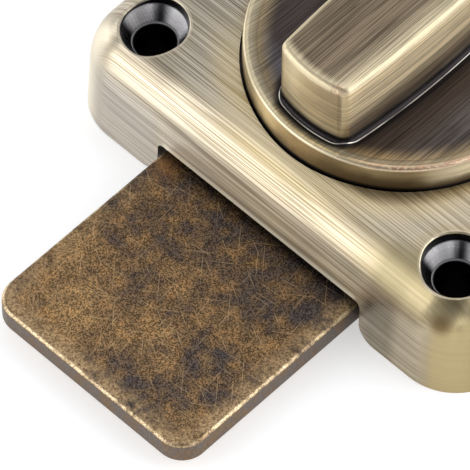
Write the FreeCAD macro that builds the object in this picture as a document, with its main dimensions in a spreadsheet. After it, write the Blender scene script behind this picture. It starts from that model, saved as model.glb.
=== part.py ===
"""Surface-mounted rotary door bolt: a cast case, a knob with a bar grip, and a flat bolt that the knob throws.

Frame: millimetres. The origin is the knob's axis on the door's face (z = 0), which is also the centre of
the four mounting holes. +X is the way the bolt is thrown, +Z points out of the door towards the knob.
The part is drawn with the bolt thrown and the grip bar lying along the bolt.
"""

import FreeCAD, Part

import math
import os
import re

import Sketcher

V = FreeCAD.Vector

# Driving dimensions, in millimetres, with angles in degrees.
SIZES = {
    # Case casting
    "case_length": 51.5,
    "case_width": 67.6,
    "case_height": 15.6,
    "case_corner_radius": 8.2,
    "case_draft": 3.0,
    "case_top_round": 7.5,
    "wall_thickness": 2.6,
    "top_thickness": 3.6,
    "cavity_corner_radius": 5.6,
    "cavity_top_round": 2.0,
    "root_overlap": 0.5,
    # Mounting screw holes and the columns round them
    "screw_edge_x": 8.25,
    "screw_edge_y": 8.55,
    "screw_hole_radius": 2.7,
    "sink_rim_round": 0.3,
    "sink_rim_radius": 4.3,
    "sink_wall_depth": 1.4,
    "sink_wall_lean": 0.12,
    "sink_floor_radius": 2.95,
    "sink_depth": 3.6,
    "sink_step": 0.2,
    "column_radius": 4.45,
    # Back plate, its bosses and its screws
    "plate_recess": 0.3,
    "plate_thickness": 1.1,
    "plate_edge_gap": 0.2,
    "boss_radius": 2.9,
    "boss_place_x": 8.5,
    "boss_wall_reach": 2.6,
    "plate_screw_radius": 1.2,
    "plate_screw_head_radius": 2.2,
    "plate_screw_head_height": 0.9,
    "plate_screw_length": 7.0,
    "plate_screw_slot_width": 0.6,
    "plate_screw_slot_depth": 0.5,
    # Flat bolt
    "bolt_thickness": 3.5,
    "bolt_width": 32.6,
    "bolt_reach": 29.45,
    "bolt_nose_radius": 3.5,
    "bolt_edge_round": 0.5,
    "bolt_under_gap": 0.3,
    "bolt_tail_gap": 0.3,
    "bolt_stop_gap": 0.3,
    "yoke_slip": 0.65,
    # Mouth in the front wall that the bolt comes out of
    "mouth_side_gap": 0.75,
    "mouth_top_gap": 1.3,
    "mouth_foot_round": 2.7,
    "mouth_top_round": 1.0,
    # Driver on the knob's spindle, with its crank pin and roller
    "driver_gap": 0.4,
    "driver_thickness": 2.0,
    "driver_disc_radius": 8.5,
    "driver_arm_radius": 3.2,
    "cam_width": 13.0,
    "cam_corner_radius": 1.0,
    "roller_radius": 2.0,
    "roller_bore_gap": 0.05,
    "roller_end_gap": 0.1,
    "pin_radius": 1.2,
    "pin_head_radius": 1.8,
    "pin_head_thickness": 0.45,
    "press_gap": 0.01,
    "spindle_square": 6.0,
    "square_gap": 0.05,
    "driver_screw_radius": 1.45,
    "driver_screw_head_radius": 3.4,
    "driver_screw_head_height": 1.3,
    "driver_screw_length": 7.0,
    "driver_screw_socket_radius": 1.5,
    "driver_screw_socket_depth": 0.8,
    "driver_washer_radius": 5.3,
    "driver_washer_thickness": 0.6,
    "driver_washer_edge_gap": 0.3,
    # Detent springs and the lugs that hold them
    "spring_thickness": 0.5,
    "spring_height": 2.4,
    "spring_half_length": 15.0,
    "spring_cam_gap": 0.1,
    "spring_lift": 0.4,
    "lug_length": 4.0,
    "lug_depth": 3.0,
    "lug_lift": 0.3,
    "spring_screw_radius": 0.8,
    "spring_screw_head_radius": 1.15,
    "spring_screw_head_height": 0.8,
    "spring_screw_length": 2.6,
    "spring_screw_gap": 0.1,
    # Knob with its rim, dish and bar
    "knob_pocket_radius": 20.0,
    "knob_pocket_depth": 1.2,
    "knob_edge_gap": 0.3,
    "knob_rim_height": 4.0,
    "knob_rim_round": 0.45,
    "knob_rim_land": 0.25,
    "knob_rim_band": 1.95,
    "knob_rim_drop": 0.55,
    "knob_side_lean": 0.1,
    "dish_fall": 1.0,
    "bar_height": 13.65,
    "bar_half_width": 6.23,
    "bar_side_radius": 180.0,
    "bar_end_inset": 2.6,
    "bar_corner_radius": 1.5,
    "bar_draft": 0.3,
    "bar_top_round": 0.9,
    "bar_foot_round": 0.7,
    # Spindle and its bearing
    "journal_radius": 5.0,
    "journal_gap": 0.05,
    "bush_wall": 1.0,
    "bush_flange_reach": 1.55,
    "bush_flange_thickness": 0.8,
    "thrust_washer_radius": 12.0,
    "thrust_washer_thickness": 0.5,
    "washer_bore_gap": 0.2,
    "wave_washer_radius": 6.3,
    "wave_washer_thickness": 0.5,
    "axial_play": 0.05,
    "spindle_root_radius": 4.0,
    "spindle_root_length": 7.0,
    "root_end_gap": 0.2,
    "thread_gap": 0.05,
}

# Sizes and places that follow from the driving dimensions.
DERIVED = {
    "half_length": "case_length / 2",
    "half_width": "case_width / 2",
    "cavity_x": "half_length - wall_thickness",
    "cavity_y": "half_width - wall_thickness",
    "ceiling": "case_height - top_thickness",
    "screw_x": "half_length - screw_edge_x",
    "screw_y": "half_width - screw_edge_y",
    "column_x": "screw_x - column_radius",
    "column_y": "screw_y - column_radius",
    "plate_top": "plate_recess + plate_thickness",
    "plate_x": "cavity_x - plate_edge_gap",
    "plate_y": "cavity_y - plate_edge_gap",
    "plate_notch_x": "column_x - plate_edge_gap",
    "plate_notch_y": "column_y - plate_edge_gap",
    "boss_y": "cavity_y - boss_wall_reach",
    "bolt_floor": "plate_top + bolt_under_gap",
    "bolt_top": "bolt_floor + bolt_thickness",
    "bolt_half_width": "bolt_width / 2",
    "bolt_nose": "half_length + bolt_reach",
    "tail_half_width": "column_y - bolt_tail_gap",
    "tail_shoulder": "cavity_x - bolt_stop_gap",
    "crank_radius": "tail_half_width - roller_radius",
    "crank_x": "crank_radius * cos(45)",
    "bolt_travel": "2 * crank_x",
    "tail_end": "bolt_travel - tail_shoulder",
    "yoke_half_width": "roller_radius + yoke_slip",
    "mouth_half_width": "bolt_half_width + mouth_side_gap",
    "mouth_top": "bolt_top + mouth_top_gap",
    "driver_floor": "bolt_top + driver_gap",
    "arm_top": "driver_floor + driver_thickness",
    "bush_bore": "journal_radius + journal_gap",
    "bush_radius": "bush_bore + bush_wall",
    "bush_flange_radius": "bush_radius + bush_flange_reach",
    "bush_flange_floor": "ceiling - bush_flange_thickness",
    "wave_washer_top": "bush_flange_floor - axial_play",
    "cam_top": "wave_washer_top - wave_washer_thickness",
    "pocket_floor": "case_height - knob_pocket_depth",
    "knob_floor": "pocket_floor + thrust_washer_thickness + axial_play",
    "knob_radius": "knob_pocket_radius - knob_edge_gap",
    "knob_top": "case_height + knob_rim_height",
    "rim_radius": "knob_radius - knob_side_lean",
    "dish_radius": "knob_radius - knob_rim_band",
    "dish_edge": "knob_top - knob_rim_drop",
    "dish_floor": "dish_edge - dish_fall",
    "dish_sphere": "(dish_radius * dish_radius + dish_fall * dish_fall) / (2 * dish_fall)",
    "bar_end_radius": "knob_radius - bar_end_inset",
    "bar_top": "case_height + bar_height",
    "bar_side_centre": "bar_side_radius - bar_half_width",
    "bar_corner_y": "(bar_side_radius * bar_side_radius - bar_end_radius * bar_end_radius"
    " - bar_side_centre * bar_side_centre) / (2 * bar_side_centre)",
    "bar_corner_x": "sqrt(bar_end_radius * bar_end_radius - bar_corner_y * bar_corner_y)",
    "square_half": "spindle_square / 2",
    "square_floor": "arm_top + square_gap",
    "recess_radius": "driver_washer_radius + driver_washer_edge_gap",
    "washer_floor": "arm_top - driver_washer_thickness",
    "driver_screw_floor": "washer_floor - driver_screw_head_height",
    "driver_screw_tip": "washer_floor + driver_screw_length",
    "spindle_root_top": "knob_floor + spindle_root_length",
    "spring_inner": "cam_width / 2 + spring_cam_gap",
    "spring_outer": "spring_inner + spring_thickness",
    "spring_floor": "arm_top + spring_lift",
    "spring_middle": "spring_floor + spring_height / 2",
    "lug_floor": "arm_top + lug_lift",
    "lug_inner_x": "spring_half_length - lug_length",
    "lug_middle_x": "spring_half_length - lug_length / 2",
    "roller_floor": "bolt_floor + pin_head_thickness + roller_end_gap",
    "roller_top": "driver_floor - roller_end_gap",
}

SIDES = (-1, 1)
QUARTERS = tuple((side_x, side_y) for side_x in SIDES for side_y in SIDES)

doc = FreeCAD.newDocument("rotary_door_bolt")
sheet = doc.addObject("Spreadsheet::Sheet", "dims")
for row, (alias, size) in enumerate(SIZES.items(), start=1):
    sheet.set(f"A{row}", str(size))
    sheet.setAlias(f"A{row}", alias)
doc.recompute()

pieces = []


def linked(text):
    """The expression with each derived name opened out and each size read from the sheet."""

    def swap(match):
        word = match.group(0)
        if word in DERIVED:
            return "(" + linked(DERIVED[word]) + ")"
        if word in SIZES:
            return "dims." + word
        return word

    return re.sub(r"[A-Za-z_]\w*", swap, str(text))


def number(text):
    """The present value of an expression, for first guesses and for picking edges."""
    found = sheet.evalExpression(linked(text))
    return float(getattr(found, "Value", found))


def bind(item, path, text):
    item.setExpression(path, linked(text))


def new_body(label):
    """A body for one separate piece, named as its file."""
    body = doc.addObject("PartDesign::Body", label)
    body.Label = label
    pieces.append(body)
    return body


def place(body, x="0", y="0", z="0", turn=None):
    if turn is not None:
        body.Placement = FreeCAD.Placement(V(0, 0, 0), turn)
    bind(body, ".Placement.Base.x", x)
    bind(body, ".Placement.Base.y", y)
    bind(body, ".Placement.Base.z", z)


def new_sketch(body, name, role="XY_Plane", level="0"):
    """A sketch on one of the body's origin planes, moved along the plane's normal."""
    plane = next(f for f in body.Origin.OriginFeatures if f.Role == role)
    sketch = body.newObject("Sketcher::SketchObject", name)
    sketch.AttachmentSupport = [(plane, "")]
    sketch.MapMode = "FlatFace"
    bind(sketch, ".AttachmentOffset.Base.z", level)
    return sketch


def fix_point(sketch, geometry, point, x, y):
    """Ties a point to the sketch's origin by two expressions."""
    for kind, text in (("DistanceX", x), ("DistanceY", y)):
        rule = Sketcher.Constraint(kind, -1, 1, geometry, point, number(text))
        index = sketch.addConstraint(rule)
        bind(sketch, f"Constraints[{index}]", text)


def fix_radius(sketch, geometry, text):
    index = sketch.addConstraint(Sketcher.Constraint("Radius", geometry, number(text)))
    bind(sketch, f"Constraints[{index}]", text)


def add_arc(sketch, start, end, radius):
    """A counter-clockwise arc of under half a turn from start to end."""
    chord = end - start
    rise = math.sqrt(max(radius * radius - chord.Length * chord.Length / 4, 0.0))
    inward = V(-chord.y, chord.x, 0).normalize()
    centre = start + chord / 2 + inward * rise
    first = math.atan2(start.y - centre.y, start.x - centre.x)
    last = math.atan2(end.y - centre.y, end.x - centre.x)
    circle = Part.Circle(centre, V(0, 0, 1), radius)
    return sketch.addGeometry(Part.ArcOfCircle(circle, first, last))


def draw_outline(sketch, points):
    """A closed outline. A point with a third entry starts an arc of that radius.

    A fourth entry of "hollow" puts the arc's centre on the right of the way of travel.
    """
    spots = [V(number(p[0]), number(p[1]), 0) for p in points]
    runs = []
    for index, point in enumerate(points):
        here = spots[index]
        there = spots[(index + 1) % len(points)]
        if len(point) == 2:
            line = sketch.addGeometry(Part.LineSegment(here, there))
            runs.append((line, 1, 2))
        elif point[-1] == "hollow":
            arc = add_arc(sketch, there, here, number(point[2]))
            runs.append((arc, 2, 1))
        else:
            arc = add_arc(sketch, here, there, number(point[2]))
            runs.append((arc, 1, 2))
    for run, follower in zip(runs, runs[1:] + runs[:1]):
        joint = Sketcher.Constraint("Coincident", run[0], run[2], follower[0], follower[1])
        sketch.addConstraint(joint)
    for run, point in zip(runs, points):
        fix_point(sketch, run[0], run[1], point[0], point[1])
        if len(point) > 2:
            fix_radius(sketch, run[0], point[2])


def draw_box(sketch, low_x, low_y, high_x, high_y):
    draw_outline(sketch, [(low_x, low_y), (high_x, low_y), (high_x, high_y), (low_x, high_y)])


def draw_round_box(sketch, half_x, half_y, radius):
    """A rectangle about the origin with round corners."""
    x = f"({half_x} - {radius})"
    y = f"({half_y} - {radius})"
    corners = [
        (f"-{x}", f"-({half_y})"),
        (x, f"-({half_y})", radius),
        (half_x, f"-{y}"),
        (half_x, y, radius),
        (x, half_y),
        (f"-{x}", half_y, radius),
        (f"-({half_x})", y),
        (f"-({half_x})", f"-{y}", radius),
    ]
    draw_outline(sketch, corners)


def draw_circle(sketch, radius, x="0", y="0"):
    centre = V(number(x), number(y), 0)
    circle = sketch.addGeometry(Part.Circle(centre, V(0, 0, 1), number(radius)))
    fix_point(sketch, circle, 3, x, y)
    fix_radius(sketch, circle, radius)


def draw_hexagon(sketch, radius):
    """A regular hexagon about the origin, by its corner radius."""
    angles = [60 * turn for turn in range(6)]
    draw_outline(sketch, [(f"{radius} * cos({a})", f"{radius} * sin({a})") for a in angles])


def pad(body, sketch, length, name, draft=None):
    feature = body.newObject("PartDesign::Pad", name)
    feature.Profile = sketch
    bind(feature, "Length", length)
    if draft is not None:
        bind(feature, "TaperAngle", f"-({draft})")
    return feature


def pocket(body, sketch, length, name, along=False):
    """Cuts against the sketch's normal, or along it."""
    feature = body.newObject("PartDesign::Pocket", name)
    feature.Profile = sketch
    feature.Reversed = along
    bind(feature, "Length", length)
    return feature


def spin(body, sketch, name):
    """Turns a half section about the sketch's upright axis."""
    feature = body.newObject("PartDesign::Revolution", name)
    feature.Profile = sketch
    feature.ReferenceAxis = (sketch, ["V_Axis"])
    feature.Angle = 360.0
    return feature


def turned(label, points):
    """A piece of revolution about its own Z, from (radius, height) points."""
    body = new_body(label)
    sketch = new_sketch(body, label + "_section", "XZ_Plane")
    draw_outline(sketch, points)
    spin(body, sketch, label + "_turned")
    return body


def turned_ring(label, inner, outer, floor, top):
    """A plain washer or tube about its own Z."""
    return turned(label, [(inner, floor), (outer, floor), (outer, top), (inner, top)])


def round_edges(body, radius, name, wanted):
    """Rounds each edge of the body's last feature that the test accepts."""
    doc.recompute()
    base = body.Tip
    names = [f"Edge{i}" for i, edge in enumerate(base.Shape.Edges, start=1) if wanted(edge)]
    if not names:
        raise ValueError(f"{name} found no edge")
    feature = body.newObject("PartDesign::Fillet", name)
    feature.Base = (base, names)
    bind(feature, "Radius", radius)
    return feature


def near(a, b):
    return abs(a - b) < 0.01


def is_level(edge, height):
    """True for an edge that lies wholly at one height."""
    box = edge.BoundBox
    return near(box.ZMin, height) and near(box.ZMax, height)


def is_upright(edge):
    """True for a straight edge that climbs more than it strays."""
    box = edge.BoundBox
    return box.ZLength > 2 * max(box.XLength, box.YLength)


def runs_along_x(edge, y, z):
    """True for a straight edge along X at the given distance from the middle and height."""
    box = edge.BoundBox
    straight = near(box.YLength, 0) and near(box.ZLength, 0) and box.XLength > 0.5
    return straight and near(abs(box.Center.y), y) and near(box.ZMin, z)


def four_times(body, feature, name, step_x, step_y):
    """Repeats a feature, cut at the low corner of a rectangle, at its other three corners."""
    axes = {f.Role: f for f in body.Origin.OriginFeatures}
    group = body.newObject("PartDesign::MultiTransform", name)
    rows = []
    for role, step in (("X_Axis", step_x), ("Y_Axis", step_y)):
        row = body.newObject("PartDesign::LinearPattern", f"{name}_along_{role[0].lower()}")
        row.Direction = (axes[role], [""])
        bind(row, "Length", step)
        row.Occurrences = 2
        rows.append(row)
    group.Originals = [feature]
    group.Transformations = rows
    body.Tip = group
    return group


def cut_turned_holes(body, name, x, y, section):
    """Cuts a turned hole at (-x, -y) and at its three mirror places."""
    sketch = new_sketch(body, name + "_section", "XZ_Plane", y)
    draw_outline(sketch, [(f"{radius} - ({x})", height) for radius, height in section])
    axis_x = -number(x)
    foot = V(axis_x, number(section[0][1]), 0)
    head = V(axis_x, number(section[-1][1]), 0)
    axis = sketch.addGeometry(Part.LineSegment(foot, head), True)
    fix_point(sketch, axis, 1, f"-({x})", section[0][1])
    fix_point(sketch, axis, 2, f"-({x})", section[-1][1])
    groove = body.newObject("PartDesign::Groove", name)
    groove.Profile = sketch
    groove.ReferenceAxis = (sketch, ["Axis0"])
    groove.Angle = 360.0
    four_times(body, groove, name + "_group", f"2 * ({x})", f"2 * ({y})")


def make_case():
    """The cast case: drafted walls, round top edge, screw columns, bosses and spring lugs inside."""
    body = new_body("case")
    outline = new_sketch(body, "case_outline")
    draw_round_box(outline, "half_length", "half_width", "case_corner_radius")
    pad(body, outline, "case_height", "case_block", draft="case_draft")
    top = number("case_height")
    round_edges(body, "case_top_round", "case_top_edge", lambda e: is_level(e, top))

    cavity = new_sketch(body, "case_cavity_outline")
    draw_round_box(cavity, "cavity_x", "cavity_y", "cavity_corner_radius")
    pocket(body, cavity, "ceiling", "case_cavity", along=True)
    roof = number("ceiling")
    round_edges(body, "cavity_top_round", "case_cavity_top", lambda e: is_level(e, roof))

    columns = new_sketch(body, "case_column_plan")
    for side_x, side_y in QUARTERS:
        draw_circle(columns, "column_radius", f"{side_x} * screw_x", f"{side_y} * screw_y")
    pad(body, columns, "ceiling + root_overlap", "case_columns")

    bosses = new_sketch(body, "case_boss_plan", level="plate_top")
    for side_x, side_y in QUARTERS:
        draw_circle(bosses, "boss_radius", f"{side_x} * boss_place_x", f"{side_y} * boss_y")
    pad(body, bosses, "ceiling - plate_top + root_overlap", "case_bosses")

    lugs = new_sketch(body, "case_lug_plan", level="lug_floor")
    for side_x, side_y in QUARTERS:
        xs = (f"{side_x} * lug_inner_x", f"{side_x} * spring_half_length")
        ys = (f"{side_y} * spring_outer", f"{side_y} * (spring_outer + lug_depth)")
        draw_box(lugs, xs[0], ys[0], xs[1], ys[1])
    pad(body, lugs, "ceiling - lug_floor + root_overlap", "case_lugs")

    cut_mouth(body)

    seat = new_sketch(body, "case_knob_seat_plan", level="case_height")
    draw_circle(seat, "knob_pocket_radius")
    pocket(body, seat, "knob_pocket_depth", "case_knob_seat")
    bore = new_sketch(body, "case_bush_bore_plan", level="case_height")
    draw_circle(bore, "bush_radius + press_gap")
    pocket(body, bore, "top_thickness + root_overlap", "case_bush_bore")

    cut_countersinks(body)
    pilots = new_sketch(body, "case_pilot_plan", level="plate_top")
    for side_x, side_y in QUARTERS:
        place_x = f"{side_x} * boss_place_x"
        draw_circle(pilots, "plate_screw_radius + thread_gap", place_x, f"{side_y} * boss_y")
    pocket(body, pilots, "plate_screw_length", "case_pilot_holes", along=True)
    for side in SIDES:
        cut_lug_hole(body, side)


def cut_mouth(body):
    """The bolt's mouth: open below, flared at its two feet and round at its top corners."""
    mouth = new_sketch(body, "case_mouth_outline", "YZ_Plane", "cavity_x - wall_thickness / 2")
    draw_box(mouth, "-(mouth_half_width)", "-(root_overlap)", "mouth_half_width", "mouth_top")
    pocket(body, mouth, "2 * wall_thickness", "case_mouth", along=True)
    side = number("mouth_half_width")
    top = number("mouth_top")
    round_edges(
        body, "mouth_top_round", "case_mouth_crown", lambda e: runs_along_x(e, side, top)
    )
    round_edges(
        body, "mouth_foot_round", "case_mouth_feet", lambda e: runs_along_x(e, side, 0)
    )


def cut_countersinks(body):
    """Four screw holes: round rim, steep wall, cone, a small step and the through bore."""
    section = [
        ("0", "-(root_overlap)"),
        ("screw_hole_radius", "-(root_overlap)"),
        ("screw_hole_radius", "case_height - sink_depth - sink_step"),
        ("sink_floor_radius - sink_step / 2", "case_height - sink_depth - sink_step"),
        ("sink_floor_radius", "case_height - sink_depth"),
        ("sink_rim_radius - sink_wall_lean", "case_height - sink_wall_depth"),
        ("sink_rim_radius", "case_height + root_overlap"),
        ("0", "case_height + root_overlap"),
    ]
    cut_turned_holes(body, "case_screw_holes", "screw_x", "screw_y", section)
    hole = (number("screw_x"), number("screw_y"))
    reach = number("sink_rim_radius") + 0.05
    wall_foot = number("case_height - sink_wall_depth") + 0.05

    def is_rim(edge):
        box = edge.BoundBox
        sides = (abs(box.XMin), abs(box.XMax), abs(box.YMin), abs(box.YMax))
        x_far = max(abs(sides[0] - hole[0]), abs(sides[1] - hole[0]))
        y_far = max(abs(sides[2] - hole[1]), abs(sides[3] - hole[1]))
        return x_far < reach and y_far < reach and box.ZMin > wall_foot

    round_edges(body, "sink_rim_round", "case_hole_rims", is_rim)


def cut_lug_hole(body, side):
    """The pilot hole for one spring's screw, square to the spring."""
    level = f"-({side}) * spring_outer"
    sketch = new_sketch(body, f"case_lug_hole_plan_{2 + side}", "XZ_Plane", level)
    radius = "spring_screw_radius + thread_gap"
    draw_circle(sketch, radius, f"-({side}) * lug_middle_x", "spring_middle")
    pocket(body, sketch, "lug_depth", f"case_lug_hole_{2 + side}", along=side < 0)


def make_back_plate():
    """The steel plate that closes the case, notched round the four screw columns."""
    body = new_body("back_plate")
    outline = new_sketch(body, "back_plate_outline", level="plate_recess")
    corners = [
        ("-(plate_notch_x)", "-(plate_y)"),
        ("plate_notch_x", "-(plate_y)"),
        ("plate_notch_x", "-(plate_notch_y)"),
        ("plate_x", "-(plate_notch_y)"),
        ("plate_x", "plate_notch_y"),
        ("plate_notch_x", "plate_notch_y"),
        ("plate_notch_x", "plate_y"),
        ("-(plate_notch_x)", "plate_y"),
        ("-(plate_notch_x)", "plate_notch_y"),
        ("-(plate_x)", "plate_notch_y"),
        ("-(plate_x)", "-(plate_notch_y)"),
        ("-(plate_notch_x)", "-(plate_notch_y)"),
    ]
    draw_outline(outline, corners)
    pad(body, outline, "plate_thickness", "back_plate_sheet")
    section = [
        ("0", "plate_recess"),
        ("plate_screw_head_radius + thread_gap", "plate_recess"),
        ("plate_screw_radius + thread_gap", "plate_recess + plate_screw_head_height"),
        ("plate_screw_radius + thread_gap", "plate_top"),
        ("0", "plate_top"),
    ]
    cut_turned_holes(body, "back_plate_holes", "boss_place_x", "boss_y", section)


def make_back_plate_screws():
    """Four small countersunk screws that hold the back plate to the bosses."""
    for count, (side_x, side_y) in enumerate(QUARTERS, start=1):
        label = f"back_plate_screw_{count}"
        section = [
            ("0", "0"),
            ("plate_screw_head_radius", "0"),
            ("plate_screw_radius", "plate_screw_head_height"),
            ("plate_screw_radius", "plate_screw_length"),
            ("0", "plate_screw_length"),
        ]
        body = turned(label, section)
        slot = new_sketch(body, label + "_slot_plan")
        reach = "plate_screw_head_radius + root_overlap"
        half = "plate_screw_slot_width / 2"
        draw_box(slot, f"-({reach})", f"-({half})", reach, half)
        pocket(body, slot, "plate_screw_slot_depth", label + "_slot", along=True)
        place(body, f"{side_x} * boss_place_x", f"{side_y} * boss_y", "plate_recess")


def make_bolt():
    """The flat bolt: a wide tail with a notch for the roller, and the tongue that is thrown."""
    body = new_body("bolt")
    outline = new_sketch(body, "bolt_outline", level="bolt_floor")
    corners = [
        ("tail_end", "-(tail_half_width)"),
        ("tail_shoulder", "-(tail_half_width)"),
        ("tail_shoulder", "-(bolt_half_width)"),
        ("bolt_nose - bolt_nose_radius", "-(bolt_half_width)", "bolt_nose_radius"),
        ("bolt_nose", "bolt_nose_radius - bolt_half_width"),
        ("bolt_nose", "bolt_half_width - bolt_nose_radius", "bolt_nose_radius"),
        ("bolt_nose - bolt_nose_radius", "bolt_half_width"),
        ("tail_shoulder", "bolt_half_width"),
        ("tail_shoulder", "tail_half_width"),
        ("tail_end", "tail_half_width"),
    ]
    draw_outline(outline, corners)
    pad(body, outline, "bolt_thickness", "bolt_sheet")
    shoulder = number("tail_shoulder")
    levels = (number("bolt_floor"), number("bolt_top"))

    def is_tongue_edge(edge):
        box = edge.BoundBox
        ahead = box.XMin > shoulder - 0.01 and box.XMax > shoulder + 0.5
        return ahead and any(is_level(edge, level) for level in levels)

    round_edges(body, "bolt_edge_round", "bolt_tongue_edges", is_tongue_edge)
    notch = new_sketch(body, "bolt_notch_plan", level="bolt_top")
    low_x = "crank_x - yoke_half_width"
    high_x = "crank_x + yoke_half_width"
    draw_box(notch, low_x, "crank_x", high_x, "tail_half_width + root_overlap")
    pocket(body, notch, "bolt_thickness", "bolt_notch")
    notch_end = new_sketch(body, "bolt_notch_end_plan", level="bolt_top")
    draw_circle(notch_end, "yoke_half_width", "crank_x", "crank_x")
    pocket(body, notch_end, "bolt_thickness", "bolt_notch_end")


def make_thumb_turn():
    """The knob: a round dish with a raised rim and a barrel-sided bar across it, in one casting."""
    body = new_body("thumb_turn")
    section = new_sketch(body, "thumb_turn_section", "XZ_Plane")
    round_start = "knob_top - knob_rim_round"
    land_outer = "rim_radius - knob_rim_round"
    profile = [
        ("0", "knob_floor"),
        ("knob_radius", "knob_floor"),
        ("rim_radius", round_start, "knob_rim_round"),
        (land_outer, "knob_top"),
        (f"{land_outer} - knob_rim_land", "knob_top"),
        ("dish_radius", "dish_edge", "dish_sphere", "hollow"),
        ("0", "dish_floor"),
    ]
    draw_outline(section, profile)
    spin(body, section, "thumb_turn_disc")

    outline = new_sketch(body, "thumb_turn_bar_outline", level="dish_floor - root_overlap")
    corners = [
        ("bar_corner_x", "-(bar_corner_y)", "bar_end_radius"),
        ("bar_corner_x", "bar_corner_y", "bar_side_radius"),
        ("-(bar_corner_x)", "bar_corner_y", "bar_end_radius"),
        ("-(bar_corner_x)", "-(bar_corner_y)", "bar_side_radius"),
    ]
    draw_outline(outline, corners)
    rise = "bar_top - dish_floor + root_overlap"
    pad(body, outline, rise, "thumb_turn_bar", draft="bar_draft")
    floor = number("dish_edge")
    top = number("bar_top")

    def is_bar_corner(edge):
        return is_upright(edge) and edge.BoundBox.ZMax > floor and near(edge.BoundBox.ZMax, top)

    round_edges(body, "bar_corner_radius", "thumb_turn_bar_corners", is_bar_corner)
    round_edges(body, "bar_top_round", "thumb_turn_bar_top", lambda e: is_level(e, top))
    low = number("dish_floor") - 0.05
    reach = number("bar_end_radius") + 0.3

    def is_bar_foot(edge):
        box = edge.BoundBox
        inside = max(abs(box.XMin), abs(box.XMax)) < reach
        return inside and box.ZMin > low and box.ZMax < floor and box.DiagonalLength > 0.5

    round_edges(body, "bar_foot_round", "thumb_turn_bar_foot", is_bar_foot)
    bore = new_sketch(body, "thumb_turn_bore_plan", level="knob_floor")
    draw_circle(bore, "spindle_root_radius + press_gap")
    pocket(body, bore, "spindle_root_length + root_end_gap", "thumb_turn_bore", along=True)


def make_spindle():
    """The steel spindle: root pressed into the knob, round journal and square end for the driver."""
    section = [
        ("0", "cam_top"),
        ("journal_radius", "cam_top"),
        ("journal_radius", "knob_floor"),
        ("spindle_root_radius", "knob_floor"),
        ("spindle_root_radius", "spindle_root_top"),
        ("0", "spindle_root_top"),
    ]
    body = turned("knob_spindle", section)
    square = new_sketch(body, "knob_spindle_square_plan", level="square_floor")
    draw_box(square, "-(square_half)", "-(square_half)", "square_half", "square_half")
    pad(body, square, "cam_top - square_floor", "knob_spindle_square")
    bore = new_sketch(body, "knob_spindle_thread_plan", level="square_floor")
    draw_circle(bore, "driver_screw_radius + thread_gap")
    pocket(body, bore, "driver_screw_length", "knob_spindle_thread", along=True)


def make_driver():
    """The driver: a disc with a crank arm, and a square cam above it that the springs press on."""
    body = new_body("driver")
    disc = new_sketch(body, "driver_disc_plan", level="driver_floor")
    draw_circle(disc, "driver_disc_radius")
    pad(body, disc, "driver_thickness", "driver_disc")
    arm = new_sketch(body, "driver_arm_plan", level="driver_floor")
    side = "driver_arm_radius * cos(45)"
    corners = [
        (side, f"-({side})"),
        (f"crank_x + {side}", f"crank_x - {side}"),
        (f"crank_x - {side}", f"crank_x + {side}"),
        (f"-({side})", side),
    ]
    draw_outline(arm, corners)
    pad(body, arm, "driver_thickness", "driver_arm")
    tip = new_sketch(body, "driver_tip_plan", level="driver_floor")
    draw_circle(tip, "driver_arm_radius", "crank_x", "crank_x")
    pad(body, tip, "driver_thickness", "driver_tip")
    cam = new_sketch(body, "driver_cam_plan", level="arm_top")
    draw_round_box(cam, "cam_width / 2", "cam_width / 2", "cam_corner_radius")
    pad(body, cam, "cam_top - arm_top", "driver_cam")
    square = new_sketch(body, "driver_square_plan", level="cam_top")
    half = "(square_half + square_gap)"
    draw_box(square, f"-{half}", f"-{half}", half, half)
    pocket(body, square, "cam_top - driver_floor", "driver_square")
    recess = new_sketch(body, "driver_recess_plan", level="driver_floor")
    draw_circle(recess, "recess_radius")
    pocket(body, recess, "driver_thickness", "driver_recess", along=True)
    pin_hole = new_sketch(body, "driver_pin_hole_plan", level="driver_floor")
    draw_circle(pin_hole, "pin_radius + press_gap", "crank_x", "crank_x")
    pocket(body, pin_hole, "driver_thickness", "driver_pin_hole", along=True)


def make_crank_pin():
    """The riveted pin under the arm's tip, and the roller that turns on it."""
    head = "bolt_floor + pin_head_thickness"
    rivet = "arm_top + pin_head_thickness"
    section = [
        ("0", "bolt_floor"),
        ("pin_head_radius", "bolt_floor"),
        ("pin_head_radius", head),
        ("pin_radius", head),
        ("pin_radius", "arm_top"),
        ("pin_head_radius", "arm_top"),
        ("pin_head_radius", rivet),
        ("0", rivet),
    ]
    place(turned("driver_pin", section), "crank_x", "crank_x")
    bore = "pin_radius + roller_bore_gap"
    roller = turned_ring("driver_roller", bore, "roller_radius", "roller_floor", "roller_top")
    place(roller, "crank_x", "crank_x")


def make_driver_fastening():
    """The washer and socket screw that hold the driver up on the spindle's square."""
    bore = "driver_screw_radius + washer_bore_gap"
    turned_ring("driver_washer", bore, "driver_washer_radius", "washer_floor", "arm_top")
    section = [
        ("0", "driver_screw_floor"),
        ("driver_screw_head_radius", "driver_screw_floor"),
        ("driver_screw_head_radius", "washer_floor"),
        ("driver_screw_radius", "washer_floor"),
        ("driver_screw_radius", "driver_screw_tip"),
        ("0", "driver_screw_tip"),
    ]
    body = turned("driver_screw", section)
    socket = new_sketch(body, "driver_screw_socket_plan", level="driver_screw_floor")
    draw_hexagon(socket, "driver_screw_socket_radius")
    pocket(body, socket, "driver_screw_socket_depth", "driver_screw_socket", along=True)


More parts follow.
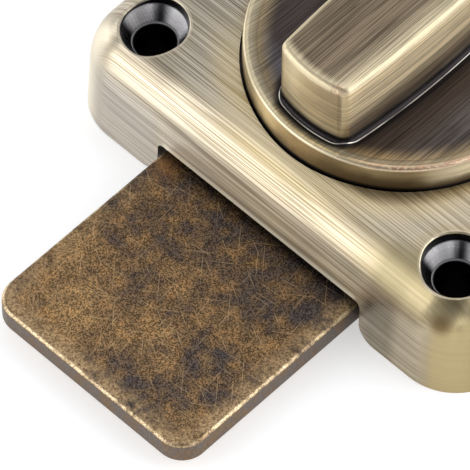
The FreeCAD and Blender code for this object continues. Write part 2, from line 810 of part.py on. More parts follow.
def make_bearing():
    """The flanged bush in the case, the knob's thrust washer and the wave washer under the flange."""
    section = [
        ("bush_bore", "bush_flange_floor"),
        ("bush_flange_radius", "bush_flange_floor"),
        ("bush_flange_radius", "ceiling"),
        ("bush_radius", "ceiling"),
        ("bush_radius", "pocket_floor"),
        ("bush_bore", "pocket_floor"),
    ]
    turned("bearing_bush", section)
    bore = "journal_radius + washer_bore_gap"
    thrust_top = "pocket_floor + thrust_washer_thickness"
    turned_ring("thrust_washer", bore, "thrust_washer_radius", "pocket_floor", thrust_top)
    turned_ring("wave_washer", bore, "wave_washer_radius", "cam_top", "wave_washer_top")


def make_detent_springs():
    """Two flat springs beside the square cam, each screwed to a lug at one end."""
    for count, half_turn in enumerate((0, 180), start=1):
        turn = FreeCAD.Rotation(V(0, 0, 1), half_turn)
        label = f"detent_spring_{count}"
        strip = new_body(label)
        plan = new_sketch(strip, label + "_plan", level="spring_floor")
        reach = "spring_half_length"
        draw_box(plan, f"-({reach})", "spring_inner", reach, "spring_outer")
        pad(strip, plan, "spring_height", label + "_strip")
        hole = new_sketch(strip, label + "_hole_plan", "XZ_Plane", "-(spring_inner)")
        radius = "spring_screw_radius + spring_screw_gap"
        draw_circle(hole, radius, "-(lug_middle_x)", "spring_middle")
        pocket(strip, hole, "spring_thickness", label + "_hole")
        place(strip, turn=turn)

        section = [
            ("0", "-(spring_screw_head_height)"),
            ("spring_screw_head_radius", "-(spring_screw_head_height)"),
            ("spring_screw_head_radius", "0"),
            ("spring_screw_radius", "0"),
            ("spring_screw_radius", "spring_screw_length"),
            ("0", "spring_screw_length"),
        ]
        screw = turned(f"detent_spring_screw_{count}", section)
        side = 1 if half_turn == 0 else -1
        aim = turn.multiply(FreeCAD.Rotation(V(1, 0, 0), -90))
        place(screw, f"-({side}) * lug_middle_x", f"{side} * spring_inner", "spring_middle", aim)


def check_pieces():
    """Stops the build if any feature failed or any piece is not one sound solid."""
    for item in doc.Objects:
        if "Invalid" in item.State or "Error" in item.State:
            raise RuntimeError(f"{item.Name} failed: {item.State}")
    for body in pieces:
        shape = body.Shape
        if shape.isNull() or not shape.isValid() or len(shape.Solids) != 1:
            raise RuntimeError(f"{body.Label} is not one sound solid")


make_case()
make_back_plate()
make_back_plate_screws()
make_bolt()
make_thumb_turn()
make_spindle()
make_bearing()
make_driver()
make_crank_pin()
make_driver_fastening()
make_detent_springs()
doc.recompute()
check_pieces()

os.makedirs("parts", exist_ok=True)
for piece in pieces:
    piece.Shape.exportStep(f"parts/{piece.Label}.step")
    print(f"{piece.Label}: {piece.Shape.Volume:.1f} mm3")
print(f"bolt travel {number('bolt_travel'):.3f} mm, crank pin at {number('crank_x'):.3f} mm")
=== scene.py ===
"""A rotary door bolt in brushed antique bronze, dressed and lit as a studio photograph of it."""

import logging
import math
from dataclasses import dataclass
from enum import Enum

import bpy
from mathutils import Matrix, Vector

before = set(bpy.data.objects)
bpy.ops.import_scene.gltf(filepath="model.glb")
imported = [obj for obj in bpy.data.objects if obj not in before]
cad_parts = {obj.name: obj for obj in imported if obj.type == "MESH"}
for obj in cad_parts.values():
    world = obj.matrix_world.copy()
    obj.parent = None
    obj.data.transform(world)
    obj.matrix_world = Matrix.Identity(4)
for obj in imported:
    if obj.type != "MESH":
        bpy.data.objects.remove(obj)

log = logging.getLogger("door_bolt")

MM = 0.001
Colour = tuple[float, float, float]
Point = tuple[float, float, float]
Span = tuple[float, float]
Socket = bpy.types.NodeSocket
Value = float | Socket


class Axis(Enum):
    """The way that a brushed grain runs."""

    X = 0
    Y = 1

    @property
    def direction(self) -> Point:
        """The axis as a vector."""
        return tuple(float(place == self.value) for place in range(3))


class Graph:
    """One material's node tree, worked in millimetres of the piece's own frame."""

    LINE_LAYERS = 1.0
    WALL_PITCH = 1.7
    WALL_SEED_STEP = 0.5
    HAIR_SHIFT = 0.5
    DASH_STEP = (13.7, 7.3)
    DASH_ENDS = (0.5, 0.3)
    QUARTER_TURN = 0.25

    def __init__(self, name: str) -> None:
        """Starts an empty material.

        Args:
            name: the material's name.
        """
        self.material = bpy.data.materials.new(name)
        self.material.use_nodes = True
        self.tree = self.material.node_tree
        self.tree.nodes.clear()
        output = self.tree.nodes.new("ShaderNodeOutputMaterial")
        self.shader = self.tree.nodes.new("ShaderNodeBsdfPrincipled")
        self.wire(self.shader.outputs["BSDF"], output.inputs["Surface"])
        source = self.tree.nodes.new("ShaderNodeTexCoord")
        self.place = self.scaled(source.outputs["Object"], (1 / MM, 1 / MM, 1 / MM))
        self.x, self.y, self.z = self.split(self.place)
        self.lean_x, self.lean_y, self.lean_z = self.split(source.outputs["Normal"])

    def wire(self, source: Value | Colour, target: Socket) -> None:
        """Links a socket into another, or sets a plain value on it.

        Args:
            source: the socket, number or colour to use.
            target: the input that takes it.
        """
        if isinstance(source, bpy.types.NodeSocket):
            self.tree.links.new(source, target)
        elif isinstance(source, tuple) and len(target.default_value) == 4:
            target.default_value = (*source, 1.0)
        else:
            target.default_value = source

    def split(self, vector: Socket) -> tuple[Socket, Socket, Socket]:
        """The three numbers of a vector.

        Args:
            vector: the vector to take apart.

        Returns:
            Its three numbers, along X, Y and Z.
        """
        node = self.tree.nodes.new("ShaderNodeSeparateXYZ")
        self.wire(vector, node.inputs[0])
        return node.outputs[0], node.outputs[1], node.outputs[2]

    def scaled(self, vector: Socket, scale: Point, turn: Point = (0, 0, 0)) -> Socket:
        """A vector turned by angles in degrees and then scaled.

        Args:
            vector: the vector to change.
            scale: the factor along each axis, used after the turn.
            turn: the angle about each axis.

        Returns:
            The changed vector.
        """
        if any(turn):
            spin = self.tree.nodes.new("ShaderNodeMapping")
            spin.inputs["Rotation"].default_value = [math.radians(angle) for angle in turn]
            self.wire(vector, spin.inputs["Vector"])
            vector = spin.outputs[0]
        node = self.tree.nodes.new("ShaderNodeMapping")
        node.inputs["Scale"].default_value = scale
        self.wire(vector, node.inputs["Vector"])
        return node.outputs[0]

    def sum(self, kind: str, first: Value, second: Value = 0.0, third: Value = 0.0) -> Socket:
        """One step of arithmetic, by the name that the Math node gives it.

        Args:
            kind: the step's name.
            first: the first value.
            second: the second value, where the step takes one.
            third: the third value, where the step takes one.

        Returns:
            The step's outcome.
        """
        node = self.tree.nodes.new("ShaderNodeMath")
        node.operation = kind
        for socket, value in zip(node.inputs, (first, second, third)):
            self.wire(value, socket)
        return node.outputs[0]

    def times(self, *factors: Value) -> Socket:
        """The product of several values.

        Args:
            factors: the values to multiply.

        Returns:
            Their product.
        """
        total = factors[0]
        for factor in factors[1:]:
            total = self.sum("MULTIPLY", total, factor)
        return total

    def most(self, *values: Value) -> Socket:
        """The highest of several values.

        Args:
            values: the values to compare.

        Returns:
            The highest of them.
        """
        top = values[0]
        for value in values[1:]:
            top = self.sum("MAXIMUM", top, value)
        return top

    def absolute(self, value: Value) -> Socket:
        """A value without its sign."""
        return self.sum("ABSOLUTE", value)

    def outside(self, share: Value) -> Socket:
        """What a share leaves of 1."""
        return self.sum("SUBTRACT", 1.0, share)

    def weighed(self, start: Value, *parts: tuple[Value, float]) -> Socket:
        """A value plus several others, each times its own weight.

        Args:
            start: the value to start from.
            parts: the other values, each with its weight.

        Returns:
            The total.
        """
        total = start
        for part, weight in parts:
            total = self.sum("MULTIPLY_ADD", part, weight, total)
        return total

    def reach(self, first: Value, second: Value) -> Socket:
        """The length of the vector that two sides make."""
        squares = self.sum("MULTIPLY_ADD", first, first, self.sum("MULTIPLY", second, second))
        return self.sum("SQRT", squares)

    def ramp(self, value: Value, start: float, end: float, low: float = 0.0, high: float = 1.0) -> Socket:
        """A smooth step: low up to start, high from end on. Start may be above end.

        Args:
            value: the value that the step follows.
            start: where the step starts.
            end: where the step ends.
            low: the outcome up to start.
            high: the outcome from end on.

        Returns:
            The outcome.
        """
        node = self.tree.nodes.new("ShaderNodeMapRange")
        node.interpolation_type = "SMOOTHSTEP"
        if start > end:
            start, end, low, high = end, start, high, low
        for name, number in (("Value", value), ("From Min", start), ("From Max", end)):
            self.wire(number, node.inputs[name])
        self.wire(low, node.inputs["To Min"])
        self.wire(high, node.inputs["To Max"])
        return node.outputs[0]

    def contrast(self, noise: Socket, spread: float, low: float = 0.0, high: float = 1.0) -> Socket:
        """A noise drawn out about its middle: low that far under it, high that far over it."""
        return self.ramp(noise, 0.5 - spread, 0.5 + spread, low, high)

    def mix(self, share: Value, low: Value | Colour, high: Value | Colour) -> Socket:
        """A colour between two others.

        Args:
            share: how much of the second colour there is, from 0 to 1.
            low: the first colour.
            high: the second colour.

        Returns:
            The mixed colour.
        """
        node = self.tree.nodes.new("ShaderNodeMix")
        node.data_type = "RGBA"
        self.wire(share, node.inputs[0])
        self.wire(low, node.inputs[6])
        self.wire(high, node.inputs[7])
        return node.outputs[2]

    def over(self, colour: Value | Colour, share: Socket, amount: float, tint: Value | Colour) -> Socket:
        """A colour with a tint laid over it, by an amount of a share."""
        return self.mix(self.times(share, amount), colour, tint)

    def shade(self, colour: Socket | Colour, amount: Value) -> Socket:
        """A colour times a number.

        Args:
            colour: the colour to change.
            amount: the number to multiply it by.

        Returns:
            The lighter or darker colour.
        """
        node = self.tree.nodes.new("ShaderNodeVectorMath")
        node.operation = "SCALE"
        self.wire(colour, node.inputs[0])
        self.wire(amount, node.inputs["Scale"])
        return node.outputs[0]

    def noise(
        self, size: Point, detail: float = 2.0, seed: float = 0.0, crisp: float = 0.5, shift: float = 0.0
    ) -> Socket:
        """Cloudy noise from 0 to 1.

        Args:
            size: the length in millimetres of one cloud along each axis.
            detail: how many finer layers it has.
            seed: shifts the pattern to another part of the noise.
            crisp: how strong the finer layers are.
            shift: how far the same pattern is moved, in clouds.

        Returns:
            The noise's value.
        """
        node = self.tree.nodes.new("ShaderNodeTexNoise")
        node.noise_dimensions = "4D"
        node.inputs["Scale"].default_value = 1.0
        node.inputs["Detail"].default_value = detail
        node.inputs["Roughness"].default_value = crisp
        node.inputs["W"].default_value = seed
        place = self.scaled(self.place, tuple(1 / s for s in size))
        if shift:
            moved = self.tree.nodes.new("ShaderNodeVectorMath")
            moved.operation = "ADD"
            self.wire(place, moved.inputs[0])
            moved.inputs[1].default_value = (shift, shift, shift)
            place = moved.outputs[0]
        self.wire(place, node.inputs["Vector"])
        return node.outputs["Fac"]

    def streaks(self, along: Axis, pitch: float, length: float, seed: float = 0.0, shift: float = 0.0) -> Socket:
        """Brush lines that run along one axis.

        Args:
            along: the axis that they run along.
            pitch: how far apart they are, in millimetres.
            length: how long they are, in millimetres.
            seed: picks another set of lines.
            shift: how far the same lines are moved, in pitches.

        Returns:
            The lines' height from 0 to 1.
        """
        size = [pitch, pitch, length]
        size[along.value] = length
        return self.noise(tuple(size), self.LINE_LAYERS, seed, shift=shift)

    def brushed(self, along: Axis, pitch: float, length: float, seed: float, shift: float = 0.0) -> Socket:
        """Brush lines along one axis on level faces, and level all round on the piece's walls.

        Args:
            along: the axis that the lines of level faces run along.
            pitch: how far apart they are, in millimetres.
            length: how long they are, in millimetres.
            seed: picks another set of lines.
            shift: how far the same lines are moved, in pitches.

        Returns:
            The lines' height from 0 to 1.
        """
        level = self.streaks(along, pitch, length, seed, shift)
        size = (length, length, self.WALL_PITCH * pitch)
        round_wall = self.noise(size, self.LINE_LAYERS, seed + self.WALL_SEED_STEP, shift=shift)
        return self.between(self.ramp(self.lean_z, 0.60, 0.35), level, round_wall)

    def hairs(self, along: Axis, pitch: float, length: float, seed: float) -> Socket:
        """Brush lines that are all fine: lines less the same lines moved, so that no broad band stays."""
        lines, moved = (self.brushed(along, pitch, length, seed, shift) for shift in (0.0, self.HAIR_SHIFT))
        return self.sum("ADD", self.sum("SUBTRACT", lines, moved), 0.5)

    def between(self, share: Socket, low: Socket, high: Socket) -> Socket:
        """A value between two others."""
        return self.sum("MULTIPLY_ADD", share, self.sum("SUBTRACT", high, low), low)

    def band(self, value: Socket, low: float, high: float, soft: float) -> Socket:
        """1 between two numbers and 0 outside them, with soft ends."""
        return self.times(self.ramp(value, low - soft, low + soft), self.ramp(value, high + soft, high - soft))

    def dashes(self, angle: float, width: float, length: float, share: float, seed: float) -> Socket:
        """Fine straight scratches on a level face, all at one angle.

        Args:
            angle: the way they run, in degrees from +X.
            width: a scratch's width in millimetres.
            length: a scratch's length in millimetres.
            share: the room that each scratch takes of its own patch.
            seed: moves the scratches.

        Returns:
            1 on a scratch and 0 off it.
        """
        node = self.tree.nodes.new("ShaderNodeTexVoronoi")
        node.voronoi_dimensions = "2D"
        node.inputs["Scale"].default_value = 1.0
        size = (share / length, share / width, 1.0)
        moved = self.tree.nodes.new("ShaderNodeVectorMath")
        moved.operation = "ADD"
        self.wire(self.place, moved.inputs[0])
        moved.inputs[1].default_value = (seed * self.DASH_STEP[0], seed * self.DASH_STEP[1], 0.0)
        self.wire(self.scaled(moved.outputs[0], size, (0, 0, -angle)), node.inputs["Vector"])
        off, on = self.DASH_ENDS
        return self.ramp(node.outputs["Distance"], share * off, share * on)

    def along_wall(self) -> Socket:
        """The level direction along a wall, whichever way the wall faces.

        Returns:
            The direction as a vector.
        """
        node = self.tree.nodes.new("ShaderNodeCombineXYZ")
        self.wire(self.sum("MULTIPLY", self.lean_y, -1.0), node.inputs[0])
        self.wire(self.lean_x, node.inputs[1])
        return node.outputs[0]

    def comb(self, grain: Socket, amount: float) -> None:
        """Spreads the shine across the brush lines.

        Args:
            grain: the way the lines run, in the piece's own frame.
            amount: how much wider the shine is across them, from 0 to 1.
        """
        turn = self.tree.nodes.new("ShaderNodeVectorTransform")
        turn.vector_type = "VECTOR"
        turn.convert_from, turn.convert_to = "OBJECT", "WORLD"
        self.wire(grain, turn.inputs[0])
        self.wire(turn.outputs[0], self.shader.inputs["Tangent"])
        self.shader.inputs["Anisotropic"].default_value = amount
        self.shader.inputs["Anisotropic Rotation"].default_value = self.QUARTER_TURN

    def finish(
        self, colour: Value | Colour, roughness: Value, height: Value | None = None, depth: float = 0.0
    ) -> bpy.types.Material:
        """Wires the metal's colour, roughness and relief to the shader.

        Args:
            colour: the metal's colour.
            roughness: its roughness.
            height: its relief from 0 to 1, or None where it has none.
            depth: how deep the relief is, in millimetres.

        Returns:
            The finished material.
        """
        self.wire(colour, self.shader.inputs["Base Color"])
        self.wire(roughness, self.shader.inputs["Roughness"])
        if height is not None:
            bump = self.tree.nodes.new("ShaderNodeBump")
            bump.inputs["Distance"].default_value = depth * MM
            bump.inputs["Strength"].default_value = 1.0
            self.wire(height, bump.inputs["Height"])
            self.wire(bump.outputs[0], self.shader.inputs["Normal"])
        return self.material


@dataclass(frozen=True)
class CasePlaces:
    """Where a point of the case lies: shares from 0 to 1, and distances in millimetres."""

    upright: Socket
    front: Socket
    beside_mouth: Socket
    over_mouth: Socket
    above_bolt: Socket
    bend: Socket
    from_hole: Socket
    in_hole: Socket
    from_axis: Socket
    ahead: Socket
    right_front_shade: Socket


@dataclass(frozen=True)
class CaseBronze:
    """Brushed antique bronze, relieved to pale metal, with an ochre tint at rims and painted shade inside."""

    pale: Colour = (0.785, 0.698, 0.540)
    deep: Colour = (0.225, 0.180, 0.112)
    ochre: Colour = (0.50, 0.39, 0.185)
    umber: Colour = (0.20, 0.13, 0.055)
    olive: Colour = (0.40, 0.335, 0.185)
    lip: Colour = (0.90, 0.82, 0.64)
    gilt: Colour = (0.90, 0.76, 0.50)
    grey: Colour = (0.52, 0.49, 0.475)
    gunmetal: Colour = (0.075, 0.072, 0.078)
    reflection_paint: Colour = (0.95, 0.93, 0.94)
    inside: Colour = (0.035, 0.032, 0.03)
    hole_x: float = 17.5
    hole_y: float = 25.25
    hole_edge: float = 4.3
    cone_top: float = 14.2
    cone_foot: float = 12.0
    cone_foot_radius: float = 2.95
    knob_recess: float = 20.0
    case_top: float = 15.6
    mouth_half_width: float = 17.05
    mouth_top: float = 6.5
    corner_x: float = 17.55
    corner_y: float = 25.6
    cavity_corner: float = 5.6
    stain_place: Point = (23.6, 28.4, 12.0)
    stain_radius: float = 2.1
    reflection_ways: tuple[Span, Span] = ((-0.976, 0.216), (-0.21, -0.978))
    fine_pitch_and_length: Span = (0.20, 60.0)
    wide_pitch_and_length: Span = (0.6, 60.0)
    hair_pitch_and_length: Span = (0.125, 24.0)
    cloud_size: Point = (9.0, 14.0, 9.0)
    mean_tone: float = 0.52
    roughness: Span = (0.30, 0.38)
    line_depth: float = 0.003
    shine_spread: float = 0.6

    def material(self) -> bpy.types.Material:
        """Builds the case's material.

        Returns:
            The finished material.
        """
        g = Graph("case_bronze_brushed")
        fine = g.hairs(Axis.Y, *self.fine_pitch_and_length, 1.0)
        wide = g.brushed(Axis.Y, *self.wide_pitch_and_length, 2.0)
        hair = g.hairs(Axis.Y, *self.hair_pitch_and_length, 3.0)
        cloud = g.noise(self.cloud_size, 3.0, seed=7.0)
        at = self.places(g)
        shares = ((g.contrast(fine, 0.10), 0.28), (g.contrast(hair, 0.07), 0.66), (g.contrast(wide, 0.16), 0.06))
        tone = g.between(self.calm(g, at), g.weighed(0.0, *shares), self.mean_tone)
        stained = g.mix(0.45, g.mix(tone, self.umber, self.ochre), self.ochre)

        colour = self.brushed(g, at, tone)
        colour = g.mix(self.rubbed(g, at, g.sum("ADD", wide, cloud)), colour, stained)
        colour = self.tinted(g, at, colour, tone, stained)
        # Painted light and shade, stretch by stretch.
        colour = g.shade(colour, self.level(g, at, cloud))
        colour = self.patina(g, at, colour, cloud)
        # Painted reflections on the screw holes' cones.
        patch, ring = self.painted_reflections(g, at, cloud)
        colour = self.holed(g, at, colour, patch, ring)
        # Painted shade: the cavity and the recess under the knob are painted near black.
        colour = g.mix(self.within(g, at, ring), colour, self.inside)

        dull = g.most(g.times(g.most(patch, ring), 0.75), g.times(at.above_bolt, 0.65))
        g.wire(g.outside(dull), g.shader.inputs["Metallic"])
        side_wall = g.ramp(g.absolute(g.lean_y), 0.45, 0.75)
        g.comb(g.mix(side_wall, Axis.Y.direction, Axis.X.direction), self.shine_spread)
        roughness = g.weighed(g.ramp(fine, 0.2, 0.8, *self.roughness), (at.in_hole, -0.08))
        relief = g.times(g.sum("ADD", fine, hair), 0.5, g.outside(at.in_hole))
        return g.finish(colour, roughness, relief, self.line_depth)

    def places(self, g: Graph) -> CasePlaces:
        """Works out where a point lies on the case.

        Args:
            g: the graph to build it in.

        Returns:
            The point's shares and distances.
        """
        front = g.times(g.ramp(g.lean_x, 0.75, 0.93), g.ramp(g.lean_z, 0.55, 0.30))
        beside_mouth = g.sum("SUBTRACT", g.absolute(g.y), self.mouth_half_width)
        over_mouth = g.sum("SUBTRACT", g.z, self.mouth_top)
        off_x = g.sum("SUBTRACT", g.absolute(g.x), self.hole_x)
        off_y = g.sum("SUBTRACT", g.absolute(g.y), self.hole_y)
        from_hole = g.reach(off_x, off_y)
        return CasePlaces(
            upright=g.ramp(g.lean_z, 0.60, 0.30),
            front=front,
            beside_mouth=beside_mouth,
            over_mouth=over_mouth,
            above_bolt=g.times(front, g.ramp(beside_mouth, 1.95, -2.05), g.ramp(over_mouth, -3.5, -0.5)),
            bend=g.times(g.lean_x, g.lean_y),
            from_hole=from_hole,
            in_hole=g.ramp(from_hole, self.hole_edge + 0.02, self.hole_edge - 0.06),
            from_axis=g.reach(g.x, g.y),
            ahead=g.ramp(g.x, 8.0, 16.0),
            # Painted shade: the front darker towards +Y.
            right_front_shade=g.times(g.ramp(g.lean_x, 0.25, 0.5), g.ramp(g.y, 11.0, 24.0)),
        )

    def calm(self, g: Graph, at: CasePlaces) -> Socket:
        """Where the brush lines fade: on walls, round corners and towards +Y."""
        at_corner = g.ramp(g.absolute(at.bend), 0.04, 0.20, 0.0, 0.7)
        return g.most(g.times(at.upright, 0.25), at_corner, g.ramp(g.y, 4.0, 20.0, 0.0, 0.30))

    def brushed(self, g: Graph, at: CasePlaces, tone: Socket) -> Socket:
        """The lines' own colour: browner above the bolt as painted light, greyer on walls and towards -Y.

        Args:
            g: the graph to build it in.
            at: where the point lies on the case.
            tone: how pale the brush lines are, from 0 to 1.

        Returns:
            The lines' colour.
        """
        colour = g.mix(tone, self.deep, self.pale)
        # Painted light: a gilt-brown tint lightens the front wall above the bolt.
        colour = g.over(colour, at.above_bolt, 0.45, g.mix(tone, self.umber, self.gilt))
        on_walls = g.times(at.upright, g.outside(at.above_bolt), g.ramp(g.lean_x, -0.3, 0.7, 0.08, 0.42))
        to_left = g.times(g.ramp(g.y, 2.0, -16.0, 0.0, 0.22), g.ramp(g.x, -10.0, 10.0))
        grey = g.shade(self.grey, g.sum("MULTIPLY_ADD", tone, 0.5, 0.75))
        return g.mix(g.most(on_walls, to_left), colour, grey)

    def rubbed(self, g: Graph, at: CasePlaces, uneven: Socket) -> Socket:
        """Where the ochre shows: round the holes and the knob, on the round top edge and at the corners.

        Args:
            g: the graph to build it in.
            at: where the point lies on the case.
            uneven: a noise that breaks the rubbed places up.

        Returns:
            The ochre's share.
        """
        near_hole = g.ramp(at.from_hole, self.hole_edge + 2.2, self.hole_edge + 0.3)
        near_hole = g.times(near_hole, g.ramp(g.y, -10.0, 10.0, 0.2, 0.5))
        near_knob = g.ramp(at.from_axis, self.knob_recess + 1.9, self.knob_recess + 0.1)
        near_knob = g.times(near_knob, g.outside(at.ahead), 0.6)
        turning = g.times(g.ramp(g.lean_z, 0.985, 0.90), g.ramp(g.lean_z, 0.25, 0.60), 0.25)
        corner = g.times(g.ramp(g.absolute(at.bend), 0.06, 0.36), g.ramp(g.lean_y, -0.3, 0.3, 0.15, 1.0), 0.5)
        return g.times(g.most(near_hole, near_knob, turning, corner), g.ramp(uneven, 0.7, 1.3, 0.55, 1.0))

    def tinted(self, g: Graph, at: CasePlaces, colour: Socket, tone: Socket, stained: Socket) -> Socket:
        """The colour with a gilt tint and painted light ahead of the knob, a stained tint as painted shade towards +Y,
        and painted highlights on the lip over the mouth and on the -Y corner.

        Args:
            g: the graph to build it in.
            at: where the point lies on the case.
            colour: the colour so far.
            tone: how pale the brush lines are, from 0 to 1.
            stained: the colour of stained bronze.

        Returns:
            The tinted colour.
        """
        # A gilt tint ahead of the knob, partly painted light where the top would show the knob's dark wall.
        gilt_and_light_ahead = g.ramp(at.from_axis, self.knob_recess + 5.5, self.knob_recess + 0.6)
        gilt_and_light_ahead = g.times(gilt_and_light_ahead, at.ahead, g.ramp(g.lean_z, 0.70, 0.88))
        # Painted highlight along the lip over the mouth.
        mouth_lip_highlight = g.times(at.front, g.ramp(at.beside_mouth, -0.45, -1.45), g.ramp(at.over_mouth, 1.0, 0.5))
        # Painted highlight on the front -Y corner.
        left_corner_highlight = g.times(g.ramp(g.lean_y, -0.2, -0.65), g.ramp(g.lean_x, 0.15, 0.5))
        colour = g.over(colour, gilt_and_light_ahead, 0.85, g.mix(tone, self.ochre, self.gilt))
        # Painted shade: a stained tint darkens the front towards +Y.
        colour = g.over(colour, at.right_front_shade, 0.45, stained)
        colour = g.over(colour, mouth_lip_highlight, 0.9, self.lip)
        return g.over(colour, left_corner_highlight, 0.8, self.lip)

    def level(self, g: Graph, at: CasePlaces, cloud: Socket) -> Socket:
        """Painted light and shade over each stretch of the case, on a faint random cloud.

        Args:
            g: the graph to build it in.
            at: where the point lies on the case.
            cloud: the broadest noise.

        Returns:
            The number to multiply the colour by.
        """
        # Painted light and shade: the top darker towards -Y and a little lighter towards +Y.
        top_light_gradient = g.times(g.ramp(g.lean_z, 0.8, 0.95), g.ramp(g.y, -14.0, 18.0, -0.20, 0.04))
        lower_round_shade = g.times(g.band(g.lean_z, 0.22, 0.48, 0.07), g.ramp(g.lean_x, 0.4, 0.7))
        lower_round_shade = g.times(lower_round_shade, g.band(g.y, -16.0, 17.0, 2.0), g.ramp(g.y, 2.0, 12.0, 0.16, 0.28))
        left_round_shade = g.times(g.band(g.lean_z, 0.74, 0.93, 0.05), g.ramp(g.lean_x, 0.2, 0.35), g.ramp(g.y, -16.0, -20.0))
        left_wall_shade = g.times(at.upright, g.ramp(g.y, -16.0, -18.0), g.ramp(g.lean_y, -0.5, -0.1))
        # Painted highlight on the corner rounds; painted shade on the +Y walls, the lower front round, the -Y round, a
        # stretch of the front beyond the bolt's +Y side, the front towards +Y and the -Y front wall.
        return g.weighed(
            g.sum("ADD", g.ramp(cloud, 0.30, 0.70, 0.95, 1.05), top_light_gradient),
            (g.times(g.band(g.lean_z, 0.3, 0.75, 0.1), g.ramp(at.bend, 0.06, 0.22)), 0.20),
            (g.times(g.ramp(g.lean_y, 0.7, 0.95), at.upright), -0.20),
            (lower_round_shade, -1.0),
            (left_round_shade, -0.30),
            (g.times(g.band(g.y, 17.8, 22.5, 1.2), g.ramp(g.lean_x, 0.10, 0.4)), -0.30),
            (at.right_front_shade, -0.13),
            (left_wall_shade, -0.10),
        )

    def patina(self, g: Graph, at: CasePlaces, colour: Socket, cloud: Socket) -> Socket:
        """The colour with an olive round, an ochre strip and an umber stain at the +Y corner.

        Args:
            g: the graph to build it in.
            at: where the point lies on the case.
            colour: the colour so far.
            cloud: the broadest noise.

        Returns:
            The colour with its patina.
        """
        olive_part = g.times(g.ramp(g.y, 13.0, 22.0), g.ramp(g.lean_x, 0.12, 0.35), g.ramp(g.lean_z, 0.30, 0.60))
        colour = g.mix(g.times(olive_part, g.ramp(cloud, 0.3, 0.6, 0.5, 0.75)), colour, self.olive)
        strip = g.times(g.band(at.bend, 0.30, 0.60, 0.08), g.ramp(g.lean_z, 0.75, 0.40))
        colour = g.over(colour, strip, 0.55, self.ochre)
        off = [g.sum("SUBTRACT", place, centre) for place, centre in zip((g.x, g.y, g.z), self.stain_place)]
        stain = g.ramp(g.reach(off[0], g.reach(off[1], off[2])), self.stain_radius, 0.3, 0.0, 0.85)
        return g.mix(stain, colour, self.umber)

    def painted_reflections(self, g: Graph, at: CasePlaces, cloud: Socket) -> tuple[Socket, Socket]:
        """Painted reflections: light patches on the holes' cones, and a painted highlight ring at a cone's foot.

        Args:
            g: the graph to build it in.
            at: where the point lies on the case.
            cloud: the broadest noise.

        Returns:
            The patches' share and the ring's share.
        """
        side_x, side_y = (
            g.sum("SUBTRACT", place, g.sum("MULTIPLY", g.sum("SIGN", place), centre))
            for place, centre in ((g.x, self.hole_x), (g.y, self.hole_y))
        )
        first, second = (self.facing(g, side_x, side_y, way) for way in self.reflection_ways)
        second = g.times(second, g.ramp(g.y, -8.0, 8.0, 0.75, 1.0))
        on_cone = g.band(g.z, self.cone_foot, self.cone_top - 0.1, 0.15)
        patch = g.times(g.most(first, second), on_cone, at.in_hole, g.ramp(cloud, 0.3, 0.6, 0.75, 1.0))
        ring = g.band(at.from_hole, self.cone_foot_radius - 0.14, self.cone_foot_radius + 0.02, 0.03)
        return patch, g.times(ring, g.ramp(g.z, self.cone_foot - 0.3, self.cone_foot - 0.24))

    @staticmethod
    def facing(g: Graph, side_x: Socket, side_y: Socket, way: Span) -> Socket:
        """1 on the side of a screw hole that lies one way from its middle, fading to 0 either side."""
        along = g.sum("MULTIPLY_ADD", side_x, way[0], g.sum("MULTIPLY", side_y, way[1]))
        return g.ramp(g.sum("DIVIDE", along, g.reach(side_x, side_y)), 0.72, 0.95)

    def holed(self, g: Graph, at: CasePlaces, colour: Socket, patch: Socket, ring: Socket) -> Socket:
        """The colour with pale lips, dark cones and painted reflections at the screw holes.

        Args:
            g: the graph to build it in.
            at: where the point lies on the case.
            colour: the colour so far.
            patch: the painted reflection patches' share.
            ring: the painted highlight ring's share.

        Returns:
            The colour with its holes.
        """
        on_lip = g.band(at.from_hole, self.hole_edge + 0.04, self.hole_edge + 0.34, 0.06)
        on_lip = g.times(on_lip, g.ramp(g.z, self.cone_foot + 0.4, self.cone_foot + 0.8))
        hollow = g.mix(g.most(patch, g.times(ring, 0.4)), self.gunmetal, self.reflection_paint)
        return g.mix(at.in_hole, g.over(colour, on_lip, 0.35, self.lip), hollow)

    def within(self, g: Graph, at: CasePlaces, ring: Socket) -> Socket:
        """Where painted shade stands for the case's inside: its cavity, and the recess under the knob.

        Args:
            g: the graph to build it in.
            at: where the point lies on the case.
            ring: the painted highlight ring's share, which stays clear.

        Returns:
            The painted shade's share.
        """
        beyond_x, beyond_y = (
            g.most(g.sum("SUBTRACT", g.absolute(place), corner), 0.0)
            for place, corner in ((g.x, self.corner_x), (g.y, self.corner_y))
        )
        cavity = g.ramp(g.reach(beyond_x, beyond_y), self.cavity_corner + 0.5, self.cavity_corner + 0.1)
        cavity = g.times(cavity, g.ramp(g.z, self.cone_foot + 0.12, self.cone_foot + 0.04), g.outside(ring))
        recess = g.ramp(at.from_axis, self.knob_recess + 0.02, self.knob_recess - 0.02)
        return g.most(cavity, g.times(recess, g.ramp(g.z, self.case_top - 0.15, self.case_top - 0.4)))


@dataclass(frozen=True)
class KnobPlaces:
    """Where a point of the knob lies: distances in millimetres, and shares from 0 to 1."""

    radius: Socket
    to_end: Socket
    to_near: Socket
    to_far: Socket
    off_bar: Socket
    under_crown: Socket
    outer_wall: Socket
    far_rim: Socket
    bar_walls: Socket
    low: Socket


